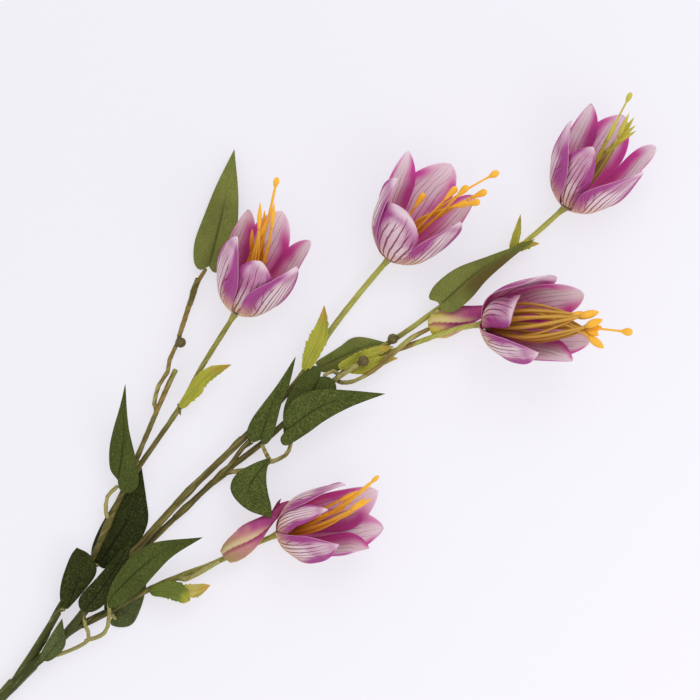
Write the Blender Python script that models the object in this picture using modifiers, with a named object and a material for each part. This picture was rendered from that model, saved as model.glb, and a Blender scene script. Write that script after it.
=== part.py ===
"""Fritillary spray: one cut, branching stem that lies on a surface.

The stem carries five open six-petalled flowers, two closed buds, heart-based leaves and small
bracts. Everything is drawn in millimetres on a plan seen from above (x to the right, y up the
plan, z above the surface), then turned so that the stem runs along +X.
"""

import math

import bmesh
import bpy
from mathutils import Matrix, Quaternion, Vector

MM = 0.001
UP = Vector((0, 0, 1))
OBJECT_NAME = "fritillary_spray"
PLAN_TURN = math.radians(-43)  # the plan's stem direction onto +X
SEAT = 0.4  # clear gap where one piece sits on another
SHEET = 0.45  # thickness of petals, leaves and bracts

# ---- flowers -------------------------------------------------------------------------------
CUP_LENGTH = 58.5  # along the flower's axis
CUP_RADIUS = 17.2  # how far the cup widens past its base ring
CUP_ROUNDNESS = 3.6  # 1 is a cone, and more makes the cup's bottom flatter
BASE_RING = 4.0  # radius at which the outer petals start
RECEPTACLE = 3.2
PETAL_WIDTH = 26.0
PETAL_CROWDING = 1.25  # how much closer together a petal's lowest stations lie
PETAL_FOOT = 0.26  # the petal's width at its base, as a share
PETAL_LEAST = 0.04  # and at its tip
PETAL_LOW_EDGE, PETAL_HIGH_EDGE = 0.45, 0.6  # less is a fuller outline, below and above the middle
PETAL_ACROSS, PETAL_ALONG = 4, 6
INNER_LIFT = 1.5  # how much higher on the receptacle the inner petals start
INNER_SHRINK = 1.5  # how much narrower the inner whorl's cup is
STAMENS = 6
STAMEN_LENGTH = 69.0
STAMEN_SPREAD = math.radians(8)
STAMEN_STATIONS = (0.1, 0.35, 0.65, 0.86, 0.95, 1)  # along a stamen or a pistil
STAMEN_RADII = [0.7, 0.5, 0.5, 0.6, 1.4, 0.4]
PISTIL_RADII = [0.9, 0.6, 0.5, 0.5, 1.7, 1.2]
OVARY = ((0, 2.2), (5, 2.0), (9, 1.2))  # along the axis, radius
PISTIL_RISE = math.radians(30)  # the pistil's slope above the surface
PISTIL_PULL = 0.6  # how far the stamens follow the pistil away from the flower's axis

# name: base (x, y, z); heading and rise of the axis, roll and extra opening of the petals, in
# degrees; pistil end (x, y)
FLOWERS = {
    "flower_1": ((130.6, 214.4, 4.4), 63, 40, 3, -1, (153, 286)),
    "flower_2": ((215, 244, 4.8), 56, 40, -6, 3, (273, 289)),
    "flower_3": ((312, 272, 4.9), 58, 38, -5, 2, (345, 332)),
    "flower_4": ((267, 207, 12.8), 2, 46, -30, 3, (345, 202)),
    "flower_5": ((154.6, 92.0, 4.3), 11.5, 40, -22, -1.5, (208, 124)),
}
# how each of a flower's petals differs: its turn round the cup and its opening in degrees, and its
# length as a share
PETALS = {
    "flower_1": [(-2, 2, 0.98), (-4, 2, 0.97), (-4, 2, 0.98), (3, 1, 1), (2, 2, 1), (4, 2, 0.98)],
    "flower_2": [(-4, 1, 0.99), (4, 0, 1.02), (6, 1, 1.03), (8, 2.5, 1.01), (6, 3.5, 1.01), (1, 2, 1)],
    "flower_3": [(-6, 2, 1), (4, 4, 1), (-4, 2, 0.99), (4, 0, 0.96), (1, 1, 1), (-3, 2, 1)],
    "flower_4": [(0, 2, 0.92), (8, 1, 1), (6, 0, 1.02), (0, 0, 1), (4, 0.5, 0.98), (4, 4, 1)],
    "flower_5": [(-4, 2, 0.94), (-1, 3.5, 0.96), (-4, -1, 0.97), (-2, 0, 0.98), (0, 1, 1), (4, 1.5, 0.96)],
}

# ---- stems: hand-laid routes, (x, y, z) ------------------------------------------------------
MAIN_ROUTE = [
    (-41, -49, 2.8), (-20, -21, 3.2), (0, 4, 4.2), (19, 20, 5.6), (36, 36, 6.5), (60, 66, 6.6),
    (74, 82, 6.8), (104, 115, 7), (136, 146, 7), (158, 169, 7), (167, 180, 7), (181, 202, 6),
    (198, 224, 4.4),
]
LEFT_ROUTE = [
    (14.5, 23, 5), (24, 35, 5), (33, 51, 5.2), (52, 80, 5.4), (60, 98, 5.2), (67, 113, 5),
    (77, 129, 4.8), (99, 161, 4.6), (111, 183, 4.2),
]
TWIG_ROUTE = [(67, 113, 5), (75, 132, 5.4), (86, 158, 5.6), (93.5, 175, 5.8), (97, 182, 6)]
LEFT_TENDRIL = [
    (86, 158, 5.6), (85, 163, 6), (87.5, 173, 6.4), (92.5, 180.5, 8.6), (93.5, 187, 8), (97, 195, 6),
    (102.5, 212, 4.4), (105, 219.5, 4), (109.5, 231, 3.6), (113.4, 237.2, 3.2),
]
RIGHT_ROUTE = [
    (70, 74, 3.1), (82.5, 87, 2.8), (104, 107.5, 3.2), (123, 125, 4), (142.5, 140, 4), (155, 151, 4),
    (184, 176, 4), (198, 187, 4), (218, 199, 4), (240, 214.5, 4), (264, 231.5, 4.2), (291.5, 254, 4.6),
]
FORK_ROUTE = [(199, 188, 4), (209, 190, 4.6), (221, 193.5, 7), (240, 200.5, 12), (253, 204.6, 14.4)]
BUD_TENDRIL = [
    (184, 176, 4), (188, 174.6, 7), (195, 175.5, 9.6), (205, 181, 10.2), (212, 187, 10), (219, 193, 10),
    (226, 199, 10), (235.6, 204, 7.7),
]
NODULE_STALK = [(180, 172.5, 4), (182, 174, 5.4), (186.5, 177.8, 9.4), (200, 186.5, 11.6)]
LOWER_ROUTE = [(44.5, 40.7, 4), (59, 48, 4.4), (80, 60, 4.4), (98, 68, 4.4), (118, 75.5, 4), (138, 85, 3.8)]
BUD_2_STALK = [(96, 67, 4.4), (102, 66.6, 6), (112, 71.5, 8), (121, 76.8, 9.8)]
HUB_ROUTE = [(121, 123.6, 4), (128, 125.6, 5), (138, 127, 6.4), (149, 131, 7.4)]
NODULE_RADIUS = 3.1
LEFT_NODULE, RIGHT_NODULE = (99.6, 196.6, 6), (216, 198.6, 7.4)
# the radii that each of these tubes runs through, from its start to its end
RADII = {
    "main": [2.8, 2.6, 2.3, 1.9, 1.8, 1.5],
    "sleeve": [3.0, 3.3],
    "left": [1.9, 1.7, 1.4, 1.4],
    "twig": [1.5, 1.3],
    "left_tendril": [1.0, 0.9, 1.0, 1.5, 0.8],
    "right": [1.6, 1.6, 1.5, 1.4],
    "fork": [1.5, 1.3],
    "bud_tendril": [1.0, 0.9, 1.3, 1.0],
    "nodule_stalk": [1.3, 1.0],
    "hub": [1.2, 0.9],
    "lower": [1.6, 1.5, 1.4],
    "bud_2_stalk": [1.2, 1.0],
    "petiole": [1.0, 0.8],
}

# ---- leaves ----------------------------------------------------------------------------------
OUTLINE_SHARPNESS = 1.66
FOOT = 0.04  # how far behind the base the outline would narrow to nothing
BRACT_MIDDLE = 0.24
# base, tip, half-widths left and right of base-to-tip, where along it is broadest, roll (degrees),
# arch, fold, lobe
LEAVES = {
    "leaf_1": ((115, 238.6, 3), (129, 303, 4.4), 11.5, 11.5, 0.22, 0, 1.5, 0.05, 5),
    "leaf_2": ((68, 119, 9.4), (69.6, 173.5, 13), 8, 9, 0.22, -4, 2.5, 0.12, 5),
    "leaf_3": ((57, 75, 0.9), (78.5, 131, 1.3), 11, 14, 0.42, 0, 0.2, 0.0, 3),
    "leaf_4": ((38, 51, 8.2), (42, 84.5, 10), 6.5, 10.5, 0.36, -4, 1, 0.1, 2),
    "leaf_5": ((48, 51, 11.4), (78.5, 90, 13), 7.5, 5.6, 0.25, 4, 1, 0.1, 3),
    "leaf_6": ((61, 59, 15.2), (112, 90, 16.5), 13, 8, 0.22, -6, 3, 0.12, 6.5),
    "leaf_7": ((64.6, 43.6, 1.1), (82, 78, 1.4), 12.5, 10.5, 0.35, 0, 0.2, 0.0, 2),
    "leaf_8": ((27, 24.5, 9.8), (35, 45, 12), 5, 8, 0.3, -10, 1, 0.1, 1),
    "leaf_9": ((143.5, 142.4, 9.9), (162.8, 188.5, 12.4), 7, 9, 0.28, 4, 1.2, 0.16, 3.5),
    "leaf_10": ((158.6, 149.6, 15.2), (212, 168.5, 14.4), 13, 10, 0.22, -5, 3, 0.1, 6.5),
    "leaf_11": ((176, 176.5, 10.4), (156, 147, 10.6), 9.5, 12.5, 0.22, 0, 0.5, 0.03, 2),
    "leaf_12": ((176, 183, 1.0), (214, 196, 1.2), 11, 7, 0.4, 0, 0.2, 0.0, 1.5),
    "leaf_13": ((148.5, 133.2, 10.6), (149.5, 100.6, 16.8), 1.5, 20, 0.5, 0, 1.5, 0.04, -5),
    "leaf_14": ((242, 215, 13.4), (293.5, 253, 9), 12, 9, 0.22, -8, 3, 0.12, 6),
}
# thin stalks from a stem to each leaf's base: stem they join, then the route up to the base
PETIOLES = {
    "leaf_2": ("left_branch", [(61, 96, 5), (58.6, 103, 6.4), (59.4, 112, 7.4), (65, 117.8, 7.9)]),
    "leaf_3": ("left_branch", [(50, 77, 5.2), (52, 74.5, 3), (54, 74, 1.75)]),
    "leaf_4": ("left_branch", [(33, 50, 5.2), (34, 49.6, 6.4), (36.2, 50.4, 6.8)]),
    "leaf_5": ("main_stem", [(24, 23.6, 5.6), (36, 26.4, 4), (49, 33.4, 5), (47, 42, 7.5), (46.8, 49, 9.5)]),
    "leaf_6": ("main_stem", [(47, 32.6, 5), (57.6, 37, 7.4), (60.4, 46, 10.4), (60.4, 57.4, 13.95)]),
    "leaf_7": ("lower_branch", [(61, 49, 4.4), (62, 46.6, 3.4), (63.8, 44.6, 2.6)]),
    "leaf_8": ("main_stem", [(22, 23, 6), (23.6, 23, 7.6), (26, 24.2, 8.5)]),
    "leaf_9": ("right_branch", [(149, 131, 7.4), (146.5, 135.6, 7.8), (144, 141, 8.5)]),
    "leaf_10": ("right_branch", [(149, 131, 7.4), (157, 134.6, 8.4), (160, 141, 11), (158.8, 148, 14)]),
    "leaf_11": ("right_branch", [(187, 178.5, 4), (183.4, 181, 7.4), (178, 178.4, 9.6)]),
    "leaf_12": ("right_branch", [(178, 171, 4), (174.6, 175, 3), (175, 181.6, 2.4)]),
    "leaf_13": ("right_branch", [(148, 130.6, 7.4), (148.3, 132.6, 9.5)]),
    "leaf_14": ("right_branch", [(237, 212.6, 4), (238.6, 212.4, 8), (240.8, 214.2, 12.1)]),
}
# small yellow-green bracts: each blade's base, tip, half-width, roll, arch and fold
BRACTS = {
    "bract_1": [((99.5, 161.5, 6.8), (127.5, 184.5, 10), 4.6, 10, 2.5, 0.35)],
    "bract_2": [((169.6, 184.4, 9.3), (178.8, 217.4, 13), 6.4, -6, 2.0, 0.25)],
    "bract_3": [
        ((280, 247, 6.3), (286, 267, 8.4), 2.2, 0, 1.0, 0.2),
        ((280, 247, 6.3), (296.5, 251, 8.8), 2.6, 0, 1.0, 0.2),
    ],
    "bract_4": [
        ((186, 180, 6.9), (216, 195.6, 7.9), 3.4, 10, 0.6, 0.15),
        ((186, 180, 6.9), (219, 188, 8.3), 3.6, -6, 0.6, 0.15),
    ],
    "bract_5": [
        ((82, 61, 7), (105, 56, 9.6), 5.0, 0, 1.6, 0.3),
        ((82, 61, 7), (115.5, 62.6, 10.8), 3.6, 0, 1.2, 0.2),
    ],
}
# buds: base, tip and greatest radius
BUDS = {
    "bud_1": ((236.1, 204.3, 7.4), (270.5, 216.6, 6.2), 6.4),
    "bud_2": ((123.5, 78.6, 10.6), (149, 104.5, 12), 6.8),
}

COLOURS = {
    "petal": ((0.53, 0.13, 0.46, 1), 0.55),
    "stamen": ((0.86, 0.42, 0.03, 1), 0.45),
    "leaf": ((0.06, 0.11, 0.03, 1), 0.6),
    "bract": ((0.42, 0.48, 0.06, 1), 0.5),
    "stem": ((0.13, 0.17, 0.04, 1), 0.45),
    "bud": ((0.56, 0.2, 0.36, 1), 0.5),
}


def clear_scene():
    for obj in list(bpy.data.objects):
        bpy.data.objects.remove(obj)


def material(name):
    found = bpy.data.materials.get(name)
    if found:
        return found
    made = bpy.data.materials.new(name)
    made.use_nodes = True
    shader = made.node_tree.nodes["Principled BSDF"]
    shader.inputs["Base Color"].default_value = COLOURS[name][0]
    shader.inputs["Roughness"].default_value = COLOURS[name][1]
    return made


def add_object(name, mesh, colour):
    obj = bpy.data.objects.new(name, mesh)
    mesh.materials.clear()
    mesh.materials.append(material(colour))
    mesh.shade_smooth()
    bpy.data.collections[OBJECT_NAME].objects.link(obj)
    obj.parent = bpy.data.objects["placement"]
    return obj


# ---- curves and tubes --------------------------------------------------------------------------
def smooth_route(points, spacing):
    """Points about `spacing` apart on a Catmull-Rom curve through the given ones."""
    knots = [Vector(p) for p in points]
    knots = [2 * knots[0] - knots[1], *knots, 2 * knots[-1] - knots[-2]]
    route = [knots[1]]
    for a, b, c, d in zip(knots, knots[1:], knots[2:], knots[3:]):
        steps = max(1, round((c - b).length / spacing))
        for step in range(1, steps + 1):
            t = step / steps
            route.append(
                0.5 * (2 * b + (c - a) * t + (2 * a - 5 * b + 4 * c - d) * t * t
                       + (3 * b - a - 3 * c + d) * t ** 3)
            )
    return route


def tube_mesh(route, radii, resolution=2):
    """A closed tube along the route, its radius running through `radii` from end to end."""
    curve = bpy.data.curves.new("tube", "CURVE")
    curve.dimensions = "3D"
    curve.bevel_depth = MM
    curve.bevel_resolution = resolution
    curve.use_fill_caps = True
    spline = curve.splines.new("POLY")
    spline.points.add(len(route) - 1)
    for index, (point, place) in enumerate(zip(spline.points, route)):
        share = index / (len(route) - 1) * (len(radii) - 1)
        low = min(int(share), len(radii) - 2)
        point.co = (*(place * MM), 1)
        point.radius = radii[low] + (radii[low + 1] - radii[low]) * (share - low)
    guide = bpy.data.objects.new("guide", curve)
    bpy.context.scene.collection.objects.link(guide)
    graph = bpy.context.evaluated_depsgraph_get()
    mesh = bpy.data.meshes.new_from_object(guide.evaluated_get(graph))
    bpy.data.objects.remove(guide)
    bm = bmesh.new()
    bm.from_mesh(mesh)
    bmesh.ops.remove_doubles(bm, verts=bm.verts, dist=1e-6)
    bmesh.ops.recalc_face_normals(bm, faces=bm.faces)
    bm.to_mesh(mesh)
    bm.free()
    return mesh


def ball_mesh(centre, radius, segments=8, rings=6):
    bm = bmesh.new()
    bmesh.ops.create_uvsphere(bm, u_segments=segments, v_segments=rings, radius=radius * MM)
    bmesh.ops.translate(bm, verts=bm.verts, vec=Vector(centre) * MM)
    mesh = bpy.data.meshes.new("ball")
    bm.to_mesh(mesh)
    bm.free()
    return mesh


def joined(name, meshes, colour):
    """One object from overlapping closed meshes, by Boolean unions."""
    cutters = bpy.data.collections["cutters"]
    base = bpy.data.objects.new("joining", meshes[0])
    cutters.objects.link(base)
    helpers = []
    for index, mesh in enumerate(meshes[1:]):
        helper = bpy.data.objects.new(f"{name}_piece_{index}", mesh)
        cutters.objects.link(helper)
        helpers.append(helper)
        union = base.modifiers.new(f"union_{index}", "BOOLEAN")
        union.operation = "UNION"
        union.solver = "EXACT"
        union.object = helper
    graph = bpy.context.evaluated_depsgraph_get()
    result = bpy.data.meshes.new_from_object(base.evaluated_get(graph))
    for helper in [base, *helpers]:
        bpy.data.objects.remove(helper)
    return add_object(name, result, colour)


# ---- sheets: petals, leaves and bracts -----------------------------------------------------------
def sheet_mesh(place, across, along):
    """A thin closed blade: place(u, v) gives its middle surface for u in -1..1 and v in 0..1."""
    bm = bmesh.new()
    bmesh.ops.create_grid(bm, x_segments=across, y_segments=along, size=1)
    for vert in bm.verts:
        vert.co = place(vert.co.x, (vert.co.y + 1) / 2) * MM
    mesh = bpy.data.meshes.new("sheet")
    bm.to_mesh(mesh)
    bm.free()
    holder = bpy.data.objects.new("holder", mesh)
    bpy.data.collections["cutters"].objects.link(holder)
    wall = holder.modifiers.new("thickness", "SOLIDIFY")
    wall.thickness = SHEET * MM
    wall.offset = 0
    graph = bpy.context.evaluated_depsgraph_get()
    solid = bpy.data.meshes.new_from_object(holder.evaluated_get(graph))
    bpy.data.objects.remove(holder)
    bm = bmesh.new()
    bm.from_mesh(solid)
    bmesh.ops.recalc_face_normals(bm, faces=bm.faces)
    bm.to_mesh(solid)
    bm.free()
    return solid


def flower_frame(name):
    """Base point and the axis, upward and sideways directions of a flower."""
    base, heading, rise, *_ = FLOWERS[name]
    turn = math.radians(heading)
    slope = math.radians(rise)
    ahead = Vector((math.cos(turn), math.sin(turn), 0))
    axis = ahead * math.cos(slope) + UP * math.sin(slope)
    upward = UP * math.cos(slope) - ahead * math.sin(slope)
    return Vector(base), axis, upward, axis.cross(upward)


def petal_outline(v):
    """Half-width share along a petal: broad from low down, with a blunt point."""
    arc = max(0.0, math.sin(math.pi * v ** 1.1))
    least = PETAL_FOOT + (PETAL_LEAST - PETAL_FOOT) * v
    return max(least, arc ** (PETAL_LOW_EDGE if v < 0.5 else PETAL_HIGH_EDGE))


def make_petal(name, flower, index):
    base, axis, upward, sideways = flower_frame(flower)
    outer = index % 2 == 1
    _, _, _, roll, opened, _ = FLOWERS[flower]
    turned, opened_more, longer = PETALS[flower][index]
    azimuth = math.radians(roll + turned) + index * math.pi / 3
    opening = math.radians(opened + opened_more)
    lift = 0 if outer else INNER_LIFT
    ring = BASE_RING if outer else BASE_RING - 0.3
    swell = CUP_RADIUS if outer else CUP_RADIUS - INNER_SHRINK
    length = CUP_LENGTH * longer
    outward = upward * math.cos(azimuth) + sideways * math.sin(azimuth)
    around = sideways * math.cos(azimuth) - upward * math.sin(azimuth)

    def place(u, v):
        v = v ** PETAL_CROWDING
        along = length * v
        radius = swell * (1 - (1 - v) ** CUP_ROUNDNESS)
        climb = along * math.cos(opening) - radius * math.sin(opening)
        reach = ring + along * math.sin(opening) + radius * math.cos(opening)
        bend = u * PETAL_WIDTH / 2 * petal_outline(v) / reach
        rim = outward * math.cos(bend) + around * math.sin(bend)
        return base + axis * (climb + lift) + rim * reach

    add_object(name, sheet_mesh(place, PETAL_ACROSS, PETAL_ALONG), "petal")


def blade_outline(v, middle):
    """Half-width share along a blade that is broadest at `middle` and ends in a long point."""
    rise = OUTLINE_SHARPNESS * (middle + FOOT) / (1 + FOOT)
    fall = OUTLINE_SHARPNESS * (1 - middle) / (1 + FOOT)
    return max(0.03, ((v + FOOT) / (middle + FOOT)) ** rise * ((1 - v) / (1 - middle)) ** fall)


def blade_mesh(base, tip, left, right, middle, roll, arch, fold, lobe, across=4, along=7):
    base, tip = Vector(base), Vector(tip)
    length = (tip - base).length
    ahead = (tip - base).normalized()
    leftward = Quaternion(ahead, math.radians(roll)) @ UP.cross(ahead).normalized()
    normal = ahead.cross(leftward)

    def place(u, v):
        half = (left if u > 0 else right) * blade_outline(v, middle)
        run = length * v - lobe * u * u * (1 - v) ** 4
        rise = arch * 4 * v * (1 - v) + fold * abs(u) * half
        return base + ahead * run + leftward * (u * half) + normal * rise

    return sheet_mesh(place, across, along)


# ---- pieces ------------------------------------------------------------------------------------
def to_flower(route, flower):
    """The route carried on to the flower's receptacle, where it stops a seat's gap short."""
    base = Vector(FLOWERS[flower][0])
    ahead = (base - Vector(route[-1])).normalized()
    return [*route, base - ahead * (RECEPTACLE + SEAT)]


def make_stamens(flower):
    base, axis, upward, sideways = flower_frame(flower)
    end = FLOWERS[flower][5]
    flat = Vector((end[0] - base.x, end[1] - base.y, 0))
    pistil = flat + UP * flat.length * math.tan(PISTIL_RISE)
    meshes = [
        ball_mesh(base, RECEPTACLE, 8, 6),
        tube_mesh([base + axis * along for along, _ in OVARY], [radius for _, radius in OVARY]),
    ]

    def bent(tip):
        """Points of an arc that leaves along the flower's axis and ends at the tip."""
        knee = axis * tip.length * 0.45
        return [base + knee * 2 * t * (1 - t) + tip * t * t for t in STAMEN_STATIONS]

    meshes.append(tube_mesh(bent(pistil), PISTIL_RADII, 0))
    aim = axis.lerp(pistil.normalized(), PISTIL_PULL)
    for index in range(STAMENS):
        turn = index * 2 * math.pi / STAMENS + 0.4
        lean = upward * math.cos(turn) + sideways * math.sin(turn)
        reach = STAMEN_LENGTH * (1 + 0.06 * math.sin(index * 2.3))
        tip = (aim + lean * math.tan(STAMEN_SPREAD)).normalized() * reach
        meshes.append(tube_mesh(bent(tip), STAMEN_RADII, 0))
    joined(f"{flower}_stamens", meshes, "stamen")


def make_bud(name):
    base, tip, girth = BUDS[name]
    base, tip = Vector(base), Vector(tip)
    bm = bmesh.new()
    bmesh.ops.create_uvsphere(bm, u_segments=12, v_segments=10, radius=1)
    for vert in bm.verts:
        t = (vert.co.z + 1) / 2
        flat = math.hypot(vert.co.x, vert.co.y)
        swell = girth * math.sin(math.pi * t ** 0.72) ** 0.8 if 0 < t < 1 else 0
        scale = swell / flat if flat > 1e-6 else 0
        vert.co = Vector((vert.co.x * scale, vert.co.y * scale, t * (tip - base).length))
    turn = (tip - base).to_track_quat("Z", "Y").to_matrix().to_4x4()
    bmesh.ops.transform(bm, matrix=Matrix.Translation(base) @ turn, verts=bm.verts)
    bmesh.ops.scale(bm, vec=(MM, MM, MM), verts=bm.verts)
    mesh = bpy.data.meshes.new(name)
    bm.to_mesh(mesh)
    bm.free()
    add_object(name, mesh, "bud")


def petiole_meshes(stem):
    return [
        tube_mesh(smooth_route(route, 4), RADII["petiole"], 1)
        for owner, route in PETIOLES.values()
        if owner == stem
    ]


def make_stems():
    main = smooth_route(to_flower(MAIN_ROUTE, "flower_2"), 8)
    joined(
        "main_stem",
        [
            tube_mesh(main, RADII["main"]),
            tube_mesh(smooth_route(MAIN_ROUTE[2:4], 8), RADII["sleeve"]),
            *petiole_meshes("main_stem"),
        ],
        "stem",
    )
    joined(
        "left_branch",
        [
            tube_mesh(smooth_route(to_flower(LEFT_ROUTE, "flower_1"), 8), RADII["left"]),
            tube_mesh(smooth_route(TWIG_ROUTE, 8), RADII["twig"]),
            tube_mesh(smooth_route(LEFT_TENDRIL, 5), RADII["left_tendril"]),
            ball_mesh(LEFT_NODULE, NODULE_RADIUS),
            *petiole_meshes("left_branch"),
        ],
        "stem",
    )
    joined(
        "right_branch",
        [
            tube_mesh(smooth_route(to_flower(RIGHT_ROUTE, "flower_3"), 8), RADII["right"]),
            tube_mesh(smooth_route(to_flower(FORK_ROUTE, "flower_4"), 6), RADII["fork"]),
            tube_mesh(smooth_route(BUD_TENDRIL, 5), RADII["bud_tendril"]),
            tube_mesh(smooth_route(NODULE_STALK, 6), RADII["nodule_stalk"]),
            ball_mesh(NODULE_STALK[-1], NODULE_RADIUS),
            ball_mesh(RIGHT_NODULE, NODULE_RADIUS),
            tube_mesh(smooth_route(HUB_ROUTE, 6), RADII["hub"]),
            *petiole_meshes("right_branch"),
        ],
        "stem",
    )
    joined(
        "lower_branch",
        [
            tube_mesh(smooth_route(to_flower(LOWER_ROUTE, "flower_5"), 8), RADII["lower"]),
            tube_mesh(smooth_route(BUD_2_STALK, 6), RADII["bud_2_stalk"]),
            *petiole_meshes("lower_branch"),
        ],
        "stem",
    )


def make_leaves():
    for name, shape in LEAVES.items():
        add_object(name, blade_mesh(*shape), "leaf")


def make_bracts():
    for name, blades in BRACTS.items():
        meshes = [
            blade_mesh(base, tip, half, half, BRACT_MIDDLE, roll, arch, fold, 0, 2, 5)
            for base, tip, half, roll, arch, fold in blades
        ]
        if len(meshes) == 1:
            add_object(name, meshes[0], "bract")
        else:
            joined(name, meshes, "bract")


def rest_on_surface():
    """Turns the plan onto +X, centres it and puts its lowest point on the surface."""
    placement = bpy.data.objects["placement"]
    placement.rotation_euler.z = PLAN_TURN
    turn = Matrix.Rotation(PLAN_TURN, 4, "Z")
    corners = [turn @ vert.co for obj in placement.children for vert in obj.data.vertices]
    low = [min(corner[axis] for corner in corners) for axis in range(3)]
    high = [max(corner[axis] for corner in corners) for axis in range(3)]
    placement.location = (-(low[0] + high[0]) / 2, -(low[1] + high[1]) / 2, -low[2])


def main():
    clear_scene()
    for name in (OBJECT_NAME, "cutters"):
        collection = bpy.data.collections.new(name)
        bpy.context.scene.collection.children.link(collection)
    bpy.data.collections[OBJECT_NAME].objects.link(bpy.data.objects.new("placement", None))
    for flower in FLOWERS:
        for index in range(6):
            make_petal(f"{flower}_petal_{index + 1}", flower, index)
        make_stamens(flower)
    for bud in BUDS:
        make_bud(bud)
    make_stems()
    make_leaves()
    make_bracts()
    rest_on_surface()


main()
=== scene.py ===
"""Fritillary spray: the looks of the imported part, built round its fixed frame.

The petals, flower centres, buds, leaves and bracts are modelled anew where the frame's nodes lie.
The stems are rounded, roughened copies of the frame's own. Places are given in millimetres on the
part's plan, seen from above, and carried into the frame by in_frame().
"""

import math

import bmesh
import bpy
from bpy.props import FloatProperty, FloatVectorProperty, IntProperty, PointerProperty
from mathutils import Matrix, Vector, noise
from mathutils.bvhtree import BVHTree


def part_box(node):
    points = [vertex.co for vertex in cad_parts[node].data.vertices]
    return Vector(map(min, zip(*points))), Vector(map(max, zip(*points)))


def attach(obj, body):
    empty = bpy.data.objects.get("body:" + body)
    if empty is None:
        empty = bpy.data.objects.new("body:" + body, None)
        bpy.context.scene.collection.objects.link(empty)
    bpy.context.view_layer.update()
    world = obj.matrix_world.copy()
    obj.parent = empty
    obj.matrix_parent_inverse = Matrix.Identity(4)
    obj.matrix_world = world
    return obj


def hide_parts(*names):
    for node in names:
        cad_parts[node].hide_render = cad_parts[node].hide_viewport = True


bl_info = {
    "name": "Fritillary Spray",
    "version": (1, 0, 0),
    "blender": (4, 5, 0),
    "location": "View3D > Sidebar > Fritillary",
    "description": "Finishes the fritillary spray round its packed frame",
    "category": "Add Mesh",
}

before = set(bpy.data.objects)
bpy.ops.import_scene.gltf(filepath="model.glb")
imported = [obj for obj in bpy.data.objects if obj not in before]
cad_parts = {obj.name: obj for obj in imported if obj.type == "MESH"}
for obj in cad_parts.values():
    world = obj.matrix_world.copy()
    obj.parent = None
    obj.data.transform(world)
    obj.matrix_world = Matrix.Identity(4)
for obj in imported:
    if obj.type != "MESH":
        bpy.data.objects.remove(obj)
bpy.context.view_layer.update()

MM = 0.001
UP = Vector((0, 0, 1))
WHOLE_TURN = 2 * math.pi
SEAM_GAP = 1e-6  # points of a mesh that are closer than this, in metres, are joined
TUBE_GAP = 1e-7  # the same for tubes, which are made in millimetres

# ---- the part's plan ---------------------------------------------------------------------------
PLAN_TURN = Matrix.Rotation(math.radians(-43), 3, "Z")  # the plan's stem direction onto +X
PLAN_ORIGIN = Vector((-207.652, -22.782, 0))  # where the plan's origin lies in the frame
PLAN_MIDDLE = Vector((192.5, 192.5, 0))
PLAN_SIDE = 385.0  # the plan is a square of this side
PLAN_PLACE = Matrix.Translation(PLAN_ORIGIN * MM) @ PLAN_TURN.to_4x4() @ Matrix.Diagonal((MM, MM, MM, 1))
BOX_SLACK = 8.5  # how far a piece's box may stand off its node's

# base; heading, rise, roll and extra opening of the cup in degrees; where the pistil ends
FLOWERS = {
    "flower_1": ((130.6, 214.4, 4.4), 63, 40, 3, -1, (153, 286)),
    "flower_2": ((215, 244, 4.8), 56, 40, -6, 3, (273, 289)),
    "flower_3": ((312, 272, 4.9), 58, 38, -5, 2, (345, 332)),
    "flower_4": ((267, 207, 12.8), 2, 46, -30, 3, (345, 202)),
    "flower_5": ((154.6, 92.0, 4.3), 11.5, 40, -22, -1.5, (208, 124)),
}
# how each of a flower's petals differs: its turn round the cup and its opening in degrees, its
# length as a share, and how far its tip curls outwards in mm
PETALS = {
    "flower_1": [
        (-2, 3, 0.93, -1), (-6, 2, 0.97, 0), (-5, 2.5, 0.98, 1),
        (3, 1, 1, 1), (2, 3, 1, 0), (4, 2, 0.98, -1),
    ],
    "flower_2": [
        (-11, 0, 0.83, -2), (5, 0, 0.99, 0), (6, 1, 0.99, 0),
        (8, 2.5, 0.97, 1), (6, 4.5, 0.98, 1), (1, 1.5, 0.97, -3),
    ],
    "flower_3": [
        (-10, 2.5, 0.98, -1), (5, 3.5, 0.98, 1), (-5, 3, 0.98, 1),
        (6, -1, 0.95, 0), (1, 1, 0.96, 1), (-2, 2, 0.98, 0),
    ],
    "flower_4": [
        (2, -13, 0.54, 2), (15, 1, 0.98, -1), (9, 0, 1.03, 0),
        (0, 0, 1, 0), (9, 0.5, 0.98, 0), (3, 0.5, 0.88, 1),
    ],
    "flower_5": [
        (-4, 4, 0.87, -2), (-3, 1.5, 0.9, -2), (-5, -1, 0.97, 0),
        (-2, 0, 0.98, 0), (0, 2, 1, 1), (6, 1.5, 0.96, -1),
    ],
}
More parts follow.
